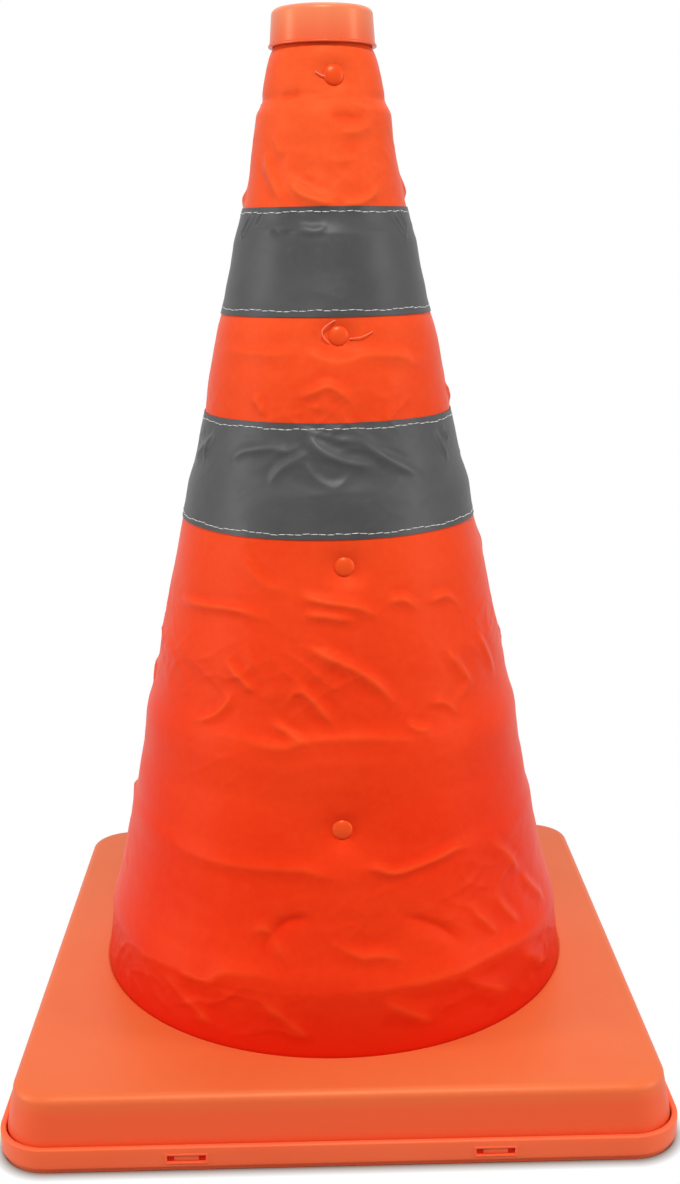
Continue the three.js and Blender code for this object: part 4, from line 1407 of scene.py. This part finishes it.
# Soft boxes: where each stands, the point that it looks at, its width and height, and its watts
SOFT_BOXES = {
    "top_soft_box": ((0.0, -0.92, 1.46), (0, 0, 0.2), 0.45, 0.3, 17.2),
    "back_soft_box": ((0.10, 0.40, 1.45), (0, 0, 0.1), 0.4, 0.25, 2.0),
    "left_soft_box": ((-1.20, -0.26, 0.45), (0, 0, 0.22), 0.22, 0.9, 6.2),
    "right_soft_box": ((1.17, -0.36, 0.45), (0, 0, 0.22), 0.22, 0.9, 5.2),
}

# The camera that was fitted to the base's edges, its opening and the cap: its place, its turns in degrees,
# and its lens and film height in millimetres
CAMERA_PLACE = (-7.83 * MM, -636.64 * MM, 358.79 * MM)
CAMERA_YAW = -1.127
CAMERA_PITCH = 13.952
CAMERA_ROLL = -0.664
CAMERA_LENS = 43.93
FILM_HEIGHT = 36


def studio():
    """A white floor that keeps the shadow, with a dark brown painted shadow along the tray's edge, a white
    surround and soft boxes above and at both sides.
    """
    surround = Surround("studio_surround")
    bpy.context.scene.world = surround.material
    surround.set(Color=(1, 1, 1, 1), Strength=WORLD_LIGHT)
    white = surround.add("ShaderNodeBackground", sockets=WHITE_LIGHT)
    shown = surround.add("ShaderNodeMixShader", sockets={0: seen_rays(surround), 2: white})
    surround.tree.links.new(surround.surface.outputs[0], shown.socket.node.inputs[1])
    surround.tree.links.new(shown.socket, surround.output.inputs["Surface"])

    bm = bmesh.new()
    bmesh.ops.create_grid(bm, x_segments=1, y_segments=1, size=FLOOR_HALF)
    mesh = bpy.data.meshes.new("studio_floor")
    bm.to_mesh(mesh)
    bm.free()
    floor = put("studio_floor", mesh)
    paper = Finish("paper_with_painted_shadow")
    place = paper.place()
    # Painted shadow: near the tray the paper is dark brown, and it gives way to the white glow further out
    grain = paper.blend(paper.noise(place, 2 * MM), (0.31, 0.265, 0.23, 1), (0.33, 0.285, 0.25, 1))
    paper.set(Base_Color=grain, Roughness=0.9, Specular_IOR_Level=0.0)
    beside = paper.parts_of(paper.add("ShaderNodeVectorMath", {"operation": "ABSOLUTE"}, {0: place}))
    over = [(part - (TRAY_HALF - TRAY_CORNER)).math("MAXIMUM", 0.0) for part in beside[:2]]
    reach = (over[0] * over[0] + over[1] * over[1]).math("SQRT")
    far = reach.spread(TRAY_CORNER + PAINTED_SHADOW_START, TRAY_CORNER + PAINTED_SHADOW_END)
    glow = paper.add("ShaderNodeEmission", sockets=WHITE_LIGHT)
    seen = paper.add("ShaderNodeMixShader", sockets={0: far, 2: glow})
    paper.tree.links.new(paper.surface.outputs[0], seen.socket.node.inputs[1])
    dull = paper.add("ShaderNodeBsdfDiffuse", sockets={"Color": FLOOR_SHADE})
    whole = paper.add("ShaderNodeMixShader", sockets={0: seen_rays(paper), 1: dull, 2: seen})
    paper.tree.links.new(whole.socket, paper.output.inputs["Surface"])
    mesh.materials.append(paper.material)

    for name, settings in SOFT_BOXES.items():
        lamp(name, *settings)


def camera():
    """The photograph's viewpoint."""
    lens = bpy.data.cameras.new("photo_camera")
    lens.sensor_fit = "VERTICAL"
    lens.sensor_height = FILM_HEIGHT
    lens.lens = CAMERA_LENS
    lens.clip_start = 0.01
    holder = put("photo_camera", lens)
    holder.matrix_world = (
        Matrix.Translation(CAMERA_PLACE)
        @ Matrix.Rotation(math.radians(CAMERA_YAW), 4, "Z")
        @ Matrix.Rotation(math.pi / 2 - math.radians(CAMERA_PITCH), 4, "X")
        @ Matrix.Rotation(math.radians(CAMERA_ROLL), 4, "Z")
    )
    bpy.context.scene.camera = holder


bpy.context.scene.view_settings.view_transform = "Standard"
camera()
studio()
dress_frame()
dress_base()
dress_tiers()
sleeve()
band("reflective_band_upper", "upper")
band("reflective_band_lower", "lower")
for name, settings in LOOSE_THREADS.items():
    loose_thread(name, *settings)
